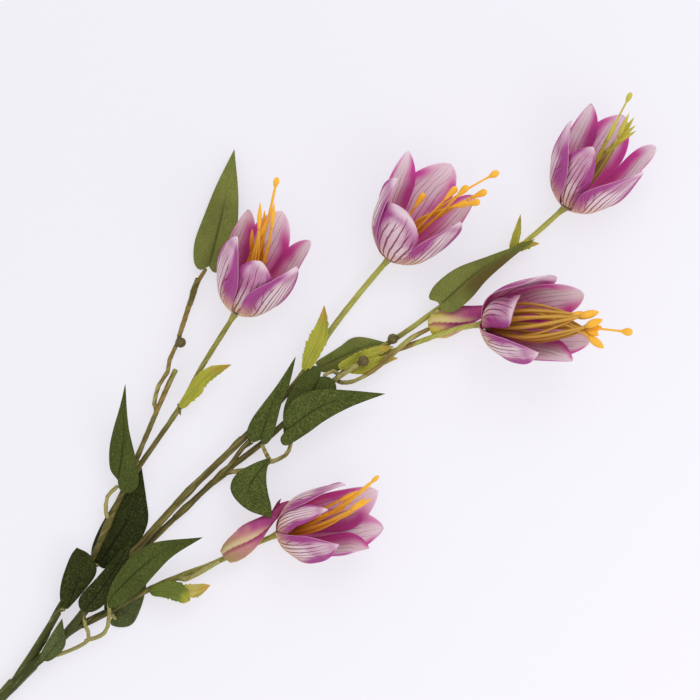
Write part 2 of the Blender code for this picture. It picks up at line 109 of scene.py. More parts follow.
# petals cut or folded otherwise than the rest: their width as a share, how far their middle leans
# round the cup as a share of their half-width, and how pointed they are
FOLDED_PETALS = {
    "flower_1_petal_1": (1.0, 0.15, 0.6),
    "flower_1_petal_2": (1.05, -0.4, 0.8),
    "flower_1_petal_6": (1.0, 0.15, 0.8),
    "flower_2_petal_1": (1.45, -0.15, 0.5),
    "flower_2_petal_6": (0.8, -0.1, 0.66),
    "flower_2_petal_2": (1.0, -0.1, 0.8),
    "flower_2_petal_4": (1.15, 0.25, 0.6),
    "flower_2_petal_5": (1.0, 0.0, 0.8),
    "flower_3_petal_1": (0.82, -0.1, 0.72),
    "flower_3_petal_2": (1.1, -0.5, 0.8),
    "flower_3_petal_3": (1.15, -0.2, 0.55),
    "flower_3_petal_5": (1.05, 0.0, 0.75),
    "flower_3_petal_6": (1.0, 0.35, 0.9),
    "flower_4_petal_1": (1.05, -0.25, 0.35),
    "flower_4_petal_2": (0.8, 0.0, 0.85),
    "flower_4_petal_3": (1.0, 0.5, 0.7),
    "flower_4_petal_6": (1.25, -0.1, 0.36),
    "flower_5_petal_1": (0.48, 0.0, 0.85),
    "flower_5_petal_2": (0.78, 0.0, 0.85),
    "flower_5_petal_3": (1.0, 0.5, 0.7),
    "flower_5_petal_5": (1.05, -0.35, 0.7),
    "flower_5_petal_6": (0.9, 0.1, 0.85),
}
PLAIN_PETAL = (1.0, 0.0, 0.66)
# how far the print stands off a petal's middle, as a share of its half-width
PRINT_SHIFTS = {
    "flower_2_petal_1": 0.36,
    "flower_1_petal_6": -0.25,
    "flower_3_petal_6": -0.25,
    "flower_1_petal_2": 0.2,
}
PROUD_PETALS = {"flower_2_petal_1": 2.2}  # how far a petal stands in front of its neighbours, in mm
CUP_LENGTH = 58.5  # along the axis, from a petal's foot to its tip
CUP_RADIUS = 17.2  # how far an outer petal swells past the ring that it stands on
CUP_ROUNDNESS = 4.4  # the greater, the closer to the foot the cup reaches its full width
OUTER_RING = 4.0
INNER_RING = 3.7
INNER_LIFT = 1.5  # how much further along the axis the inner petals stand
INNER_SHRINK = 1.5  # how much less they swell
PETAL_FOOT = 0.34  # a petal's half-width at its foot, as a share
PETAL_SHOULDER = 0.38  # how quickly it widens: less is quicker
PETAL_BROADEST = 0.53  # where along a petal it is broadest
PISTIL_RISE = math.radians(30)
STAMEN_RISE = math.radians(33)
STAMEN_STRAY = math.radians(2.5)  # how much more or less than that a stamen rises
# the anthers' kind and length, the filaments' thickness, the pistil's and its knob's radius, and
# where the stamens end
CENTRES = {
    "flower_1": ("pointed", 16, 1.5, 0.85, 1.7, [
        (143.8, 272.7), (151.4, 272.2), (146, 268.5), (139.3, 258.5), (148.5, 264.8), (146.5, 260.7),
    ]),
    "flower_2": ("spoon", 10.5, 1.45, 0.6, 2.0, [
        (250.5, 281), (256.5, 281.5), (266.7, 278.8), (263, 273), (256.6, 272.5), (233, 278),
    ]),
    "flower_3": ("pointed", 17, 1.3, 0.6, 1.6, [
        (338.6, 320), (343.9, 321), (346.9, 319), (347.5, 314.3), (348, 311.5), (344.3, 309.8),
    ]),
    "flower_4": ("broad", 11, 1.9, 0.7, 2.3, [
        (327.3, 213.1), (329, 209), (329, 205), (327, 200.5), (329.7, 193.6), (323.5, 210.5),
    ]),
    "flower_5": ("pointed", 14, 1.7, 1.2, 1.3, [
        (204.6, 111.9), (201, 112.4), (198, 108), (193.6, 110.6), (197, 116), (190, 106),
    ]),
}
BOWS = {"flower_4": 2.4}  # how much more than the others its filaments bow apart
FILAMENT_END = 0.6  # the "along" mark where a filament ends and its anther begins
STRANDS = {"flower_1": 3, "flower_3": 2, "flower_4": 3}  # how many filaments an anther has
STRAND_TURN = 0.6  # how far round the axis the further ones bow, in radians
STRAND_FLATNESS = 0.4
# the receptacle: how far along the axis, and its radius there
RECEPTACLE = [(-1.5, 0.6), (-1.0, 2.0), (0, 3.0), (3, 2.6), (6, 1.9), (9, 0.9)]
# the knob at the pistil's end: how far back from the end, and its radius there as a share
KNOB = [(0.0, 0.35), (0.6, 0.7), (1.7, 0.95), (3.0, 1.0), (4.4, 0.75), (6.2, 0.35)]
# the anthers' half-widths in mm, at these shares of their length, and how flat they are there
ANTHER_SHARES = (0, 0.1, 0.3, 0.5, 0.7, 0.86, 0.95, 1)
ANTHER_FLATNESS = (1, 0.8, 0.5, 0.42, 0.42, 0.5, 0.6, 0.9)
ANTHERS = {
    "pointed": (0.6, 0.95, 1.25, 1.25, 0.95, 0.55, 0.25, 0.04),
    "spoon": (0.55, 0.8, 1.2, 1.6, 1.9, 1.85, 1.4, 0.4),
    "broad": (0.5, 1.3, 2.1, 2.3, 1.9, 1.2, 0.7, 0.1),
}

# each leaf: heights at its base and tip, arch, fold, its base and tip on the plan, and the left and
# right margins between them, from the stalk round the lobe
LEAVES = {
    "leaf_1": ((3, 4.4), 1.5, 0.05, (115, 238.6), (129, 303),
               [(110, 236.5), (106.8, 241), (107.2, 252), (112.6, 267), (119.6, 284)],
               [(118, 235), (124, 237), (128.6, 245), (130.6, 258), (131.2, 278)]),
    "leaf_2": ((9.4, 13), 2.5, 0.12, (65.2, 121.4), (69.4, 174),
               [(63.6, 123.2), (60.9, 128), (60.7, 138), (62.6, 148), (66.4, 161)],
               [(66.4, 116), (71.5, 114), (76.4, 118.6), (75.6, 131), (71.2, 151)]),
    "leaf_3": ((0.9, 1.3), 0.2, 0.0, (54, 74), (77.5, 131),
               [(50.6, 76), (50.6, 84), (55, 95), (62, 107), (69, 118)],
               [(58, 72.4), (67, 76.6), (76, 86), (81.4, 98), (80.5, 111)]),
    "leaf_4": ((8.2, 10), 1.0, 0.1, (37.6, 50.4), (42.6, 84.2),
               [(34.6, 51.6), (33.4, 58), (34.4, 66), (37, 74), (39.8, 80.4)],
               [(41.3, 54.2), (48, 62), (53.2, 69.6), (53, 75.4), (49, 81)]),
    "leaf_5": ((11.4, 13), 1.0, 0.1, (47, 50), (73, 88.6),
               [(44.4, 50.8), (43.8, 55.6), (47, 60.6), (54, 68), (62, 77)],
               [(50.4, 48.8), (56, 51.4), (62, 58), (67, 68), (71, 78)]),
    "leaf_6": ((15.2, 16.5), 3.0, 0.12, (61, 57), (112, 90),
               [(59.2, 53), (60.4, 60), (64.6, 69), (73.4, 80), (86, 87.4)],
               [(60.4, 51.6), (66, 52.4), (77.4, 60.6), (86, 70), (96, 80)]),
    "leaf_7": ((1.1, 1.4), 0.2, 0.0, (62, 46), (82, 78),
               [(58, 47), (57.6, 54), (61, 62), (67, 70), (74, 75)],
               [(61, 41.6), (67, 40), (73, 42), (77, 49.4), (80, 60)]),
    "leaf_8": ((9.8, 12), 1.0, 0.1, (24.4, 22.4), (34.8, 45.4),
               [(22, 21.6), (22.4, 24.8), (25, 30), (28.2, 35.6), (31.4, 40.6)],
               [(27, 21.8), (31, 24), (35, 28), (36.8, 32.4), (36, 38)]),
    "leaf_9": ((9.9, 12.4), 1.2, 0.16, (143.4, 143.4), (162.8, 189),
               [(139, 142), (135.8, 146), (138.4, 154), (145.2, 163.6), (153, 174)],
               [(146, 140.6), (150, 145), (152.4, 153), (155, 163), (159.4, 174)]),
    "leaf_10": ((15.2, 14.4), 3.0, 0.1, (158.8, 149.6), (212, 168.6),
                [(156, 152), (157, 159), (164, 167), (176, 171), (192, 170.4)],
                [(154.4, 144), (157.6, 140.2), (169, 146.8), (179, 154), (193, 161.4)]),
    "leaf_11": ((10.4, 10.6), 0.5, 0.03, (176, 178), (156, 147),
                [(181.6, 177.4), (185, 172.6), (183, 165), (175, 157), (165, 151)],
                [(176.4, 182.4), (171.6, 183.6), (165, 177.6), (159.4, 169), (156, 159)]),
    "leaf_12": ((1.0, 1.2), 0.2, 0.0, (175, 182.6), (214.6, 196),
                [(174, 186), (180, 190), (187, 194.4), (193.4, 199), (201, 199.4)],
                [(177, 180.4), (184, 180.6), (192, 183), (199, 186.6), (206, 191)]),
    "leaf_13": ((10.6, 16.8), 1.5, 0.04, (148.6, 133.4), (149.8, 100.6),
                [(148.2, 131.6), (146.8, 126), (146.8, 120), (147.8, 113.6), (149.4, 107)],
                [(140, 130.4), (130.6, 125), (127, 117.6), (130, 110.6), (138, 104.2)]),
    "leaf_14": ((13.4, 9), 3.0, 0.12, (241.6, 217), (294, 253.4),
                [(240, 219.6), (235.6, 221), (239.4, 228.6), (251, 237.4), (268, 243.8)],
                [(243, 214), (250, 213.8), (259, 221), (267, 230.4), (277, 239.4)]),
}
LEAF_GRID = (26, 46)  # faces across and along
BRACT_GRID = (14, 44)
GROOVE_WIDTH = 0.9  # half the width of a midrib's groove
LOWEST_BLADE = 0.45  # how high a blade's lowest points lie
# the leaves that aren't plain green
LEAF_KINDS = {
    # leaf_14's brown half is partly its own brown and partly painted shade on that half
    "leaf_1": "olive", "leaf_12": "olive", "leaf_14": "browned",
    # leaf_3, leaf_4 and leaf_5 take a blackish blade: painted shade on the lowest leaves, under the
    # others
    "leaf_3": "shaded", "leaf_4": "shaded", "leaf_5": "shaded",
    "leaf_7": "dusty", "leaf_8": "dusty",
    "leaf_9": "netted", "leaf_10": "netted", "leaf_13": "netted",
}
# each bract's blades, given as the leaves are
BRACTS = {
    "bract_1": [
        ((6.8, 10), 2.5, 0.35, (99, 161), (127.5, 184.5),
         [(98.6, 163), (101, 167.4), (105, 174), (110, 180.4), (117, 184)],
         [(101.6, 160.4), (106, 164), (111.4, 168.2), (114, 173), (119, 177.6)]),
    ],
    "bract_2": [
        ((9.3, 13), 2.0, 0.25, (167.4, 181.6), (178.4, 217),
         [(166, 182.6), (166.4, 189), (168.2, 196.6), (172, 203.6), (175.6, 210.6)],
         [(169, 180.4), (173, 184.6), (177.4, 191.4), (180.8, 200), (180.4, 209)]),
    ],
    "bract_3": [
        ((6.3, 8.4), 1.0, 0.2, (280.4, 247.4), (286, 267),
         [(280, 249.6), (280.8, 253), (282, 257), (283.6, 261), (284.8, 264)],
         [(282.4, 248), (285, 251.4), (286.2, 255.4), (286.4, 259.6), (286.2, 263.4)]),
        ((6.3, 8.8), 1.0, 0.2, (280.4, 247.4), (296.5, 251),
         [(282.4, 249.6), (285.4, 251.4), (288.6, 252.4), (291.4, 252.4), (294, 251.8)],
         [(282.6, 246.2), (285.6, 246.4), (288.8, 247.4), (291.6, 248.6), (294.2, 249.8)]),
    ],
    "bract_4": [
        ((6.9, 7.9), 0.6, 0.15, (187, 181.6), (216.6, 194.4),
         [(186, 184.4), (189.4, 187.4), (196, 191), (203, 193.6), (210, 195)],
         [(190, 182), (195, 184.6), (201, 187), (207, 189), (212, 191.4)]),
        ((6.9, 8.3), 0.6, 0.15, (189, 182), (219, 188),
         [(190, 184.6), (196, 187), (203, 188.6), (209, 189.4), (214, 189.2)],
         [(191.6, 180), (196, 179.2), (201, 179), (207, 181.6), (213, 185)]),
    ],
    "bract_5": [
        ((7, 9.6), 1.6, 0.3, (82, 60), (105, 55),
         [(84, 63), (89, 65.2), (95, 66.4), (100.4, 65), (104, 60.6)],
         [(84.6, 57.6), (88.6, 56.8), (93, 56), (97, 54.6), (101, 53.4)]),
        ((7, 10.8), 1.2, 0.2, (95, 60.6), (116, 63.6),
         [(97, 62.6), (101, 63.8), (105, 64.4), (109, 64.6), (112.6, 64.4)],
         [(98, 58.4), (102, 57), (106, 56.4), (109.6, 57), (113, 59.8)]),
    ],
}
BUD_PETALS = 3  # wound round each other
BUD_SIDES = 90
BUD_RINGS = 40
# base, tip, greatest half-width and half-height, and the shape from base to tip as shares
BUDS = {
    "bud_1": ((235.4, 204.6, 7.4), (271.5, 215.6, 6.4), 8.2, 6.2,
              (0.45, 0.86, 1.0, 0.97, 0.9, 0.8, 0.68, 0.56, 0.46, 0.36, 0.2)),
    "bud_2": ((123.4, 78.4, 10.6), (156, 106.4, 12.4), 7.4, 6.6,
              (0.55, 0.85, 0.97, 1.0, 0.97, 0.86, 0.7, 0.54, 0.42, 0.36, 0.2)),
}
# the withered ends of bud_2: their routes and radii
BUD_ENDS = {
    "bud_2_beak": (
        [(150.6, 102, 12), (154.6, 105.6, 12.6), (159, 107.8, 13), (164, 109, 13.4)],
        [2.6, 2.9, 2.3, 0.5],
    ),
    "bud_2_spike": (
        [(151, 103.6, 12), (152.4, 106.4, 13.4), (153.2, 108.6, 14.4), (154.6, 111, 15)],
        [1.6, 1.4, 0.9, 0.2],
    ),
}
# the last bend of each flower's stalk
STALK_BENDS = {
    "flower_1": (111, 183, 4.2),
    "flower_2": (198, 224, 4.4),
    "flower_3": (291.5, 254, 4.6),
    "flower_4": (253, 204.6, 14.4),
    "flower_5": (138, 85, 3.8),
}
# moulded joints that the frame's plain stems lack: their routes and radii
JOINTS = {
    "left_foot": (
        [(7.6, 9.8, 4.6), (12.4, 17, 4.8), (17.4, 24.4, 5), (23.2, 33.4, 5.2), (27, 39.6, 5.4),
         (32.4, 48.8, 5.6)],
        [2.0, 2.15, 2.15, 2.2, 2.1, 1.9],
    ),
    "lower_foot": (
        [(58, 48.4, 3.6), (52, 45.4, 3.8), (46, 42.2, 4), (40, 38.4, 4.2), (34, 34, 4.5),
         (28, 28.6, 4.8), (20, 21, 5.4)],
        [1.6, 1.75, 1.8, 1.8, 1.8, 1.7, 1.6],
    ),
    "main_collar": (
        [(-1, -0.2, 4.0), (3.2, 4.6, 4.2), (7.4, 9.2, 4.4), (8.4, 10.2, 4.5)],
        [3.1, 3.2, 3.4, 2.4],
    ),
    "right_collar": (
        [(9.5, 10, 5.0), (13, 13.6, 5.2), (16.8, 17.8, 5.5), (17.8, 19, 5.6)],
        [2.2, 2.4, 2.5, 1.8],
    ),
    "middle_collar": ([(97, 107.6, 7), (104, 115, 7), (108, 119.2, 7)], [2.05, 2.35, 1.9]),
    "upper_collar": ([(126, 136.4, 7), (130.4, 141, 7), (133.4, 144, 7)], [1.6, 2.1, 1.9]),
    "inner_strand": (
        [(125, 126.6, 4.4), (129, 132.4, 5.2), (133, 138, 6), (137.6, 143, 6.6)],
        [1.6, 1.3, 1.3, 1.3],
    ),
    "inner_spur": ([(134, 138.6, 6.4), (137, 140.4, 6.6), (139.4, 141.6, 6.8)], [0.7, 0.75, 0.4]),
    "lower_collar": ([(96, 100, 3), (102, 105.6, 3.1), (106.4, 109.6, 3.3)], [1.7, 2.1, 1.65]),
    "fork_collar": ([(117, 119.4, 3.7), (122.6, 124.6, 4), (127, 128.4, 4.2)], [1.7, 2.5, 1.8]),
    "twig_sleeve": ([(104.6, 217, 5), (106.6, 224.5, 4.6), (108.9, 232, 4)], [1.3, 1.9, 1.2]),
    "left_spur": ([(98.6, 163, 4.8), (98.9, 159.8, 5.4), (99.4, 156.8, 5.8)], [1.0, 0.9, 0.3]),
    "twig_collar": ([(55.4, 87, 5.3), (59.4, 96.6, 5.2), (61.4, 101, 5.1)], [1.8, 2.2, 1.7]),
}
# round nodules on the twigs
NODULES = [(99.6, 196.6, 6), (216, 198.6, 7.4), (200, 186.5, 11.6)]
# the routes of the thin tan tendrils
TENDRILS = [
    [(86, 158, 5.6), (92.5, 180.5, 8.6), (105, 219.5, 4), (113.4, 237.2, 3.2)],
    [(184, 176, 4), (205, 181, 10.2), (235.6, 204, 7.7)],
]
# each stem's node, the flowers that it carries, and how green it is beside them as a share
STEMS = {
    "main_stem": (["flower_2"], 1.0),
    "left_branch": (["flower_1"], 0.55),
    "right_branch": (["flower_3", "flower_4"], 1.0),
    "lower_branch": (["flower_5"], 0.7),
}
# how far the stems' marks reach from what they belong to, and over which length they fade, in mm;
# "slender" is measured by the stem's own thickness
MARKS = {"young": (95, 70), "tendril": (2.8, 0.8), "nodule": (4.2, 0.5), "slender": (2.4, 0.4)}
SLIMMED = (4, 2)  # stems 4 mm thick are made slimmer in full, and those 2 mm thinner not at all
CUT_END = (-41, -49, 2.8)
WOODY = (180, 60)  # how far from the cut end the stems are woody, and the length of the fade, in mm
# where a stem bends otherwise than the frame's: the middle and reach of the bend, and its shift
NUDGES = {
    "left_branch": ((18, 27, 5), 24, (1.8, -0.9, 0)),
    "main_stem": ((1, 3, 4), 26, (1.2, -1.6, 0)),
}
# the lamps' places ahead of, to the right of and above the spray's middle, and their sizes, in metres
LAMPS = {"key": (1.0, 0.5, 1.4, 0.8), "fill": (-0.5, 0.5, 0.6, 0.5)}
FLOOR_SIZE = 6  # half its side, in metres
FLOOR_DROP = 0.1  # how far the floor lies below the spray, in mm
FLOOR_SHADE = 0.36  # the share of its colour that the floor takes where lamps shine on it
FLOOR_FLECK = 0.3  # the same for its flecks
FLOOR_FAR = 0.9  # how bright its own glow is at its dimmer end
GLOW_SPAN = (-0.25, 0.3)  # where the glow starts to grow and where it is whole, in metres


def in_frame(point):
    """A plan point, in millimetres, as a frame point in metres."""
    return (PLAN_TURN @ Vector(point) + PLAN_ORIGIN) * MM


def nearness(distance, reach, fade):
    """1 close by, 0 past the reach, and a slope over the last `fade` of it. The distance is in
    metres, and the other two are in mm."""
    return min(1.0, max(0.0, (reach * MM - distance) / (fade * MM)))


def tint(code):
    """A screen colour such as B84DB0 as the linear colour that shaders take."""
    parts = [int(code[at:at + 2], 16) / 255 for at in (0, 2, 4)]
    return tuple(p / 12.92 if p <= 0.04045 else ((p + 0.055) / 1.055) ** 2.4 for p in parts)


def shaded(colour, share):
    """A colour darkened to this share of itself."""
    return tuple(part * share for part in colour)


def size_prop(name, description, default, low=0.0, high=100.0):
    return FloatProperty(name=name, description=description, default=default, min=low, max=high)


def colour_prop(name, description, code):
    return FloatVectorProperty(
        name=name, description=description, subtype="COLOR", size=3, min=0, max=1, default=tint(code)
    )


# ---- settings ------------------------------------------------------------------------------------
class PetalSettings(bpy.types.PropertyGroup):
    width: size_prop("Width", "Broadest width of a petal in mm", 26.5)
    thickness: size_prop("Thickness", "Thickness of the petal cloth in mm", 0.35)
    ripple: size_prop("Ripple", "How far the margins wave in mm", 0.45)
    crease: size_prop("Crease", "Depth of the fold down the middle in mm", 0.5)
    rolled: size_prop("Rolled", "How far the outer petals' margins turn out in mm", 0.9)
    across: IntProperty(name="Across", description="Faces across a petal", default=20, min=4, max=60)
    along: IntProperty(name="Along", description="Faces along a petal", default=34, min=6, max=80)
    glow: size_prop("Glow", "Share of the light that goes through the cloth", 0.6, high=1)
    ground: colour_prop("Ground", "Pale ground of the petals' inside", "F6E3EA")
    outer_ground: colour_prop("Outer ground", "Pale ground of the petals' outside", "E6CFD8")
    margin: colour_prop("Margin", "Margins of the petals' inside", "D256AC")
    outer_margin: colour_prop("Outer margin", "Margins of the petals' outside", "AA4C92")
    # the throat colour paints the shade deep in the cup, at the petals' inner foot
    painted_throat_shade: colour_prop("Throat", "Deep colour inside the cup", "C65292")
    foot: colour_prop("Foot", "Beige foot of the petals", "DDB88A")
    vein: colour_prop("Vein", "Printed veins", "7A2E36")
    cut: colour_prop("Cut edge", "Pale cut edge of the cloth", "D4A4C2")


class StamenSettings(bpy.types.PropertyGroup):
    bow: size_prop("Bow", "How far the filaments bow outwards in mm", 4.0)
    ripe: colour_prop("Anthers", "Orange of the anthers", "FFBC30")
    stalk: colour_prop("Filaments", "Ochre of the filaments", "F2B232")
    green: colour_prop("Green anthers", "Yellow-green of the third flower", "CCC244")
    green_stalk: colour_prop("Green filaments", "Filaments of the third flower", "BCAC48")
    brown_stalk: colour_prop("Brown filaments", "Filaments of the fourth flower", "CE9C3C")


class BudSettings(bpy.types.PropertyGroup):
    fold: size_prop("Fold", "How far the wrapped petals stand proud, as a share", 0.16, high=1)
    turn: size_prop("Turn", "How far the petals wind round the bud, in turns", 0.3, high=2)
    foot: colour_prop("Foot", "Yellow-green foot of a bud", "C8BC50")
    faded: colour_prop("Faded foot", "Beige foot of the lower bud", "A88E60")
    cheek: colour_prop("Cheek", "Beige-pink middle of a bud", "C48684")
    point: colour_prop("Point", "Magenta point of a bud", "B04A86")
    spike: colour_prop("Spike", "Dark purple-brown of the withered spike", "4A2434")
    # the crease colour paints the shade under each wrapped petal's edge
    crease: colour_prop("Crease", "Dark line under a wrapped petal's edge", "8C3050")
    flap: colour_prop("Flap", "Pale margin of a wrapped petal", "DCCB9C")


class StemSettings(bpy.types.PropertyGroup):
    grain: size_prop("Grain", "Size of the remeshed faces in mm", 0.42, low=0.2)
    knots: size_prop("Knots", "How far the surface swells and sinks in mm", 0.16)
    slim: size_prop("Slim", "How much thinner than the frame's the stems are in mm", 0.15)
    full: size_prop("Filling", "How far the stems are filled out in mm", 0.2)
    old: colour_prop("Old stem", "Dark green of the main stems", "343E0E")
    middle: colour_prop("Middle", "Olive-brown of the middle of the stems", "645A26")
    bark: colour_prop("Bark", "Brown patches of the main stems", "4A3D1C")
    young: colour_prop("Young stem", "Yellow-green of the flower stalks", "B8B858")
    slender: colour_prop("Slender stalks", "Pale tan-green of the leaf stalks", "AFA664")
    tendril: colour_prop("Tendril", "Brown of the tendrils", "8A7438")
    nodule: colour_prop("Nodule", "Dark brown of the round nodules", "5E5430")


class LeafSettings(bpy.types.PropertyGroup):
    thickness: size_prop("Thickness", "Thickness of a leaf in mm", 0.4)
    groove: size_prop("Groove", "Depth of the midrib's groove in mm", 0.45)
    wave: size_prop("Wave", "How far the margins wave in mm", 0.5)
    blade: colour_prop("Blade", "Dark green of the leaves", "4A5322")
    olive: colour_prop("Olive blade", "Lighter green of the olive leaves", "7C8240")
    # a blackish blade that paints the shade falling on the lowest leaves, under the others
    painted_shade_blade: colour_prop("Shaded blade", "Blackish green of the lowest leaves", "2C320E")
    dusty: colour_prop("Dusty blade", "Greyish green of the turned leaves", "525A34")
    net: colour_prop("Veins", "Pale net of veins", "8C9A50")
    # the brown half of leaf_14 is partly its own brown and partly painted shade falling on that half
    brown: colour_prop("Brown", "Brown half of the topmost leaf", "5C4A24")


class BractSettings(bpy.types.PropertyGroup):
    thickness: size_prop("Thickness", "Thickness of a bract in mm", 0.4)
    groove: size_prop("Groove", "Depth of the midrib's groove in mm", 0.2)
    teeth: size_prop("Teeth", "Depth of the frayed margin as a share of the width", 0.35, high=1)
    wave: size_prop("Wave", "How far the margins wave in mm", 1.2)
    blade: colour_prop("Blade", "Yellow-green of the bracts", "B2AC3C")
    green: colour_prop("Green", "Deeper green of the lowest bract", "5E6A26")
    pale: colour_prop("Pale", "Straw colour of the lowest bract's end", "CDB866")
    edge: colour_prop("Streak", "Darker green streaks of the bracts", "7C8A30")
    tip: colour_prop("Tip", "Ochre tips of the bracts", "C09A48")


class StageSettings(bpy.types.PropertyGroup):
    lens: size_prop("Lens", "Focal length in mm, on a sensor 36 mm wide", 300.0, high=1000)
    floor: colour_prop("Floor", "Colour of the floor", "F3F1F8")
    floor_glow: size_prop("Floor glow", "Light that comes through the floor", 0.7)
    sky: size_prop("Sky", "Strength of the even light", 0.84)
    key: size_prop("Key", "Power of the main lamp in W", 5.0)
    fill: size_prop("Fill", "Power of the second lamp in W", 0.9)


# ---- mesh tools ------------------------------------------------------------------------------------
def add_piece(name, bm, materials, nodes=()):
    """A finished piece at the origin, riding on the part's one body."""
    mesh = bpy.data.meshes.new(name)
    bm.to_mesh(mesh)
    bm.free()
    for material in materials:
        mesh.materials.append(material)
    mesh.shade_smooth()
    piece = bpy.data.objects.new(name, mesh)
    bpy.context.scene.collection.objects.link(piece)
    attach(piece, "root")
    if nodes:
        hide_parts(*nodes)
    for node in nodes:
        keep_to_node(piece, node)
    return piece


def keep_to_node(piece, node):
    """Stops the script if a piece isn't where its node is."""
    low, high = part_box(node)
    points = [vert.co for vert in piece.data.vertices]
    for axis in range(3):
        off = max(
            low[axis] - min(p[axis] for p in points), max(p[axis] for p in points) - high[axis],
        )
        if off > BOX_SLACK * MM:
            raise RuntimeError(f"{piece.name} stands {off / MM:.1f} mm out of {node} along axis {axis}")


def sheet_bmesh(place, across, along, marks=None):
    """An open sheet: place(u, v) gives its points, u in -1..1 and v in 0..1. Its front is where
    u turned onto v points. Each of the marks is an attribute that a function of u and v gives."""
    bm = bmesh.new()
    bm.loops.layers.uv.new("UVMap")
    layers = [(bm.verts.layers.float.new(name), mark) for name, mark in (marks or {}).items()]
    bmesh.ops.create_grid(bm, x_segments=across, y_segments=along, size=1, calc_uvs=True)
    for vert in bm.verts:
        u, v = vert.co.x, (vert.co.y + 1) / 2
        for layer, mark in layers:
            vert[layer] = mark(u, v)
        vert.co = place(u, v)
    bmesh.ops.remove_doubles(bm, verts=bm.verts, dist=SEAM_GAP)
    return bm


def thicken(piece, thickness, offset=-1.0, back=0, rim=0):
    """Gives a sheet its wall. back and rim say how many places after the front's material theirs are."""
    wall = piece.modifiers.new("wall", "SOLIDIFY")
    wall.thickness = thickness * MM
    wall.offset = offset
    wall.material_offset = back
    wall.material_offset_rim = rim
    wall.use_quality_normals = True


def sweep(bm, route, radii, sides=8, squash=None, marks=(0.0, 1.0)):
    """A closed tube along the route, one radius a point. squash flattens it at each point, and the
    attribute "along" runs between the marks."""
    squash = squash or [1.0] * len(route)
    along = bm.verts.layers.float.get("along") or bm.verts.layers.float.new("along")
    turn = (route[1] - route[0]).to_track_quat("Z", "Y")
    frames = []
    for index, point in enumerate(route):
        ahead = route[min(index + 1, len(route) - 1)] - route[max(index - 1, 0)]
        turn = (turn @ UP).rotation_difference(ahead) @ turn
        size = Matrix.Diagonal((radii[index], radii[index] * squash[index], 1, 1))
        frames.append(Matrix.Translation(point) @ turn.to_matrix().to_4x4() @ size)
    verts = bmesh.ops.create_circle(bm, cap_ends=True, radius=1, segments=sides)["verts"]
    face = verts[0].link_faces[0]
    bmesh.ops.transform(bm, matrix=frames[0], verts=verts)
    for vert in verts:
        vert[along] = marks[0]
    for index in range(1, len(frames)):
        # without its edges the old end would stay behind, as a wall inside the tube
        made = bmesh.ops.extrude_face_region(bm, geom=[face, *face.edges])["geom"]
        verts = [item for item in made if isinstance(item, bmesh.types.BMVert)]
        face = next(item for item in made if isinstance(item, bmesh.types.BMFace))
        bmesh.ops.transform(bm, matrix=frames[index] @ frames[index - 1].inverted(), verts=verts)
        for vert in verts:
            vert[along] = marks[0] + (marks[1] - marks[0]) * index / (len(frames) - 1)


def finish_tubes(bm):
    """Closes the seams of tubes made on the plan, turns their faces out and brings them into the
    frame."""
    bmesh.ops.remove_doubles(bm, verts=bm.verts, dist=TUBE_GAP)
    bmesh.ops.recalc_face_normals(bm, faces=bm.faces)
    bmesh.ops.transform(bm, matrix=PLAN_PLACE, verts=bm.verts)


# ---- shader tools ------------------------------------------------------------------------------------
class Weaver:
    """Adds nodes to a tree. Each call gives back the new node's output."""

    def __init__(self, tree):
        self.tree = tree

    def make(self, kind, inputs=None, out=0, **settings):
        node = self.tree.nodes.new(kind)
        for key, value in settings.items():
            setattr(node, key, value)
        for key, value in (inputs or {}).items():
            self.plug(node.inputs[key], value)
        return node.outputs[out]

    def plug(self, socket, value):
        if isinstance(value, bpy.types.NodeSocket):
            self.tree.links.new(value, socket)
        elif socket.type == "RGBA" and len(value) == 3:
            socket.default_value = (*value, 1)
        else:
            socket.default_value = value

    def calc(self, operation, *values):
        return self.make("ShaderNodeMath", dict(enumerate(values)), operation=operation)

    def band(self, value, low, high, bottom=0.0, top=1.0):
        """A soft step from bottom, at low, to top, at high."""
        inputs = {"Value": value, "From Min": low, "From Max": high, "To Min": bottom, "To Max": top}
        return self.make("ShaderNodeMapRange", inputs, interpolation_type="SMOOTHSTEP")

    def stripes(self, value, half_width):
        """Soft lines where the value is whole. half_width is a share of their spacing."""
        gap = self.calc("PINGPONG", value, 0.5)
        outer = self.calc("MULTIPLY", half_width, 1.4)
        inner = self.calc("MULTIPLY", half_width, 0.6)
        return self.band(gap, outer, inner)

    def both(self, *masks):
        """What all the masks cover."""
        made = masks[0]
        for mask in masks[1:]:
            made = self.calc("MULTIPLY", made, mask)
        return made

    def mix(self, share, first, second):
        return self.make("ShaderNodeMix", {0: share, 6: first, 7: second}, out=2, data_type="RGBA")

    def noise(self, vector, scale, detail=2.0, roughness=0.5):
        inputs = {"Vector": vector, "Scale": scale, "Detail": detail, "Roughness": roughness}
        return self.make("ShaderNodeTexNoise", inputs)

    def streaks(self, across, along, narrow, scale):
        """Noise drawn out along a sheet: the greater `narrow` is, the narrower its streaks."""
        drawn = self.make("ShaderNodeCombineXYZ", {0: self.calc("MULTIPLY", across, narrow), 1: along})
        return self.noise(drawn, scale)

    def place(self):
        """The point's place in the frame, in metres."""
        return self.make("ShaderNodeTexCoord", out=3)

    def mark(self, name):
        """A number kept on the mesh's vertices."""
        return self.make("ShaderNodeAttribute", out=2, attribute_name=name)

    def uv(self):
        """Across, in -1..1, and along, in 0..1."""
        parts = self.make("ShaderNodeSeparateXYZ", {0: self.make("ShaderNodeUVMap", uv_map="UVMap")})
        across = self.calc("MULTIPLY_ADD", parts, 2.0, -1.0)
        return across, parts.node.outputs[1]


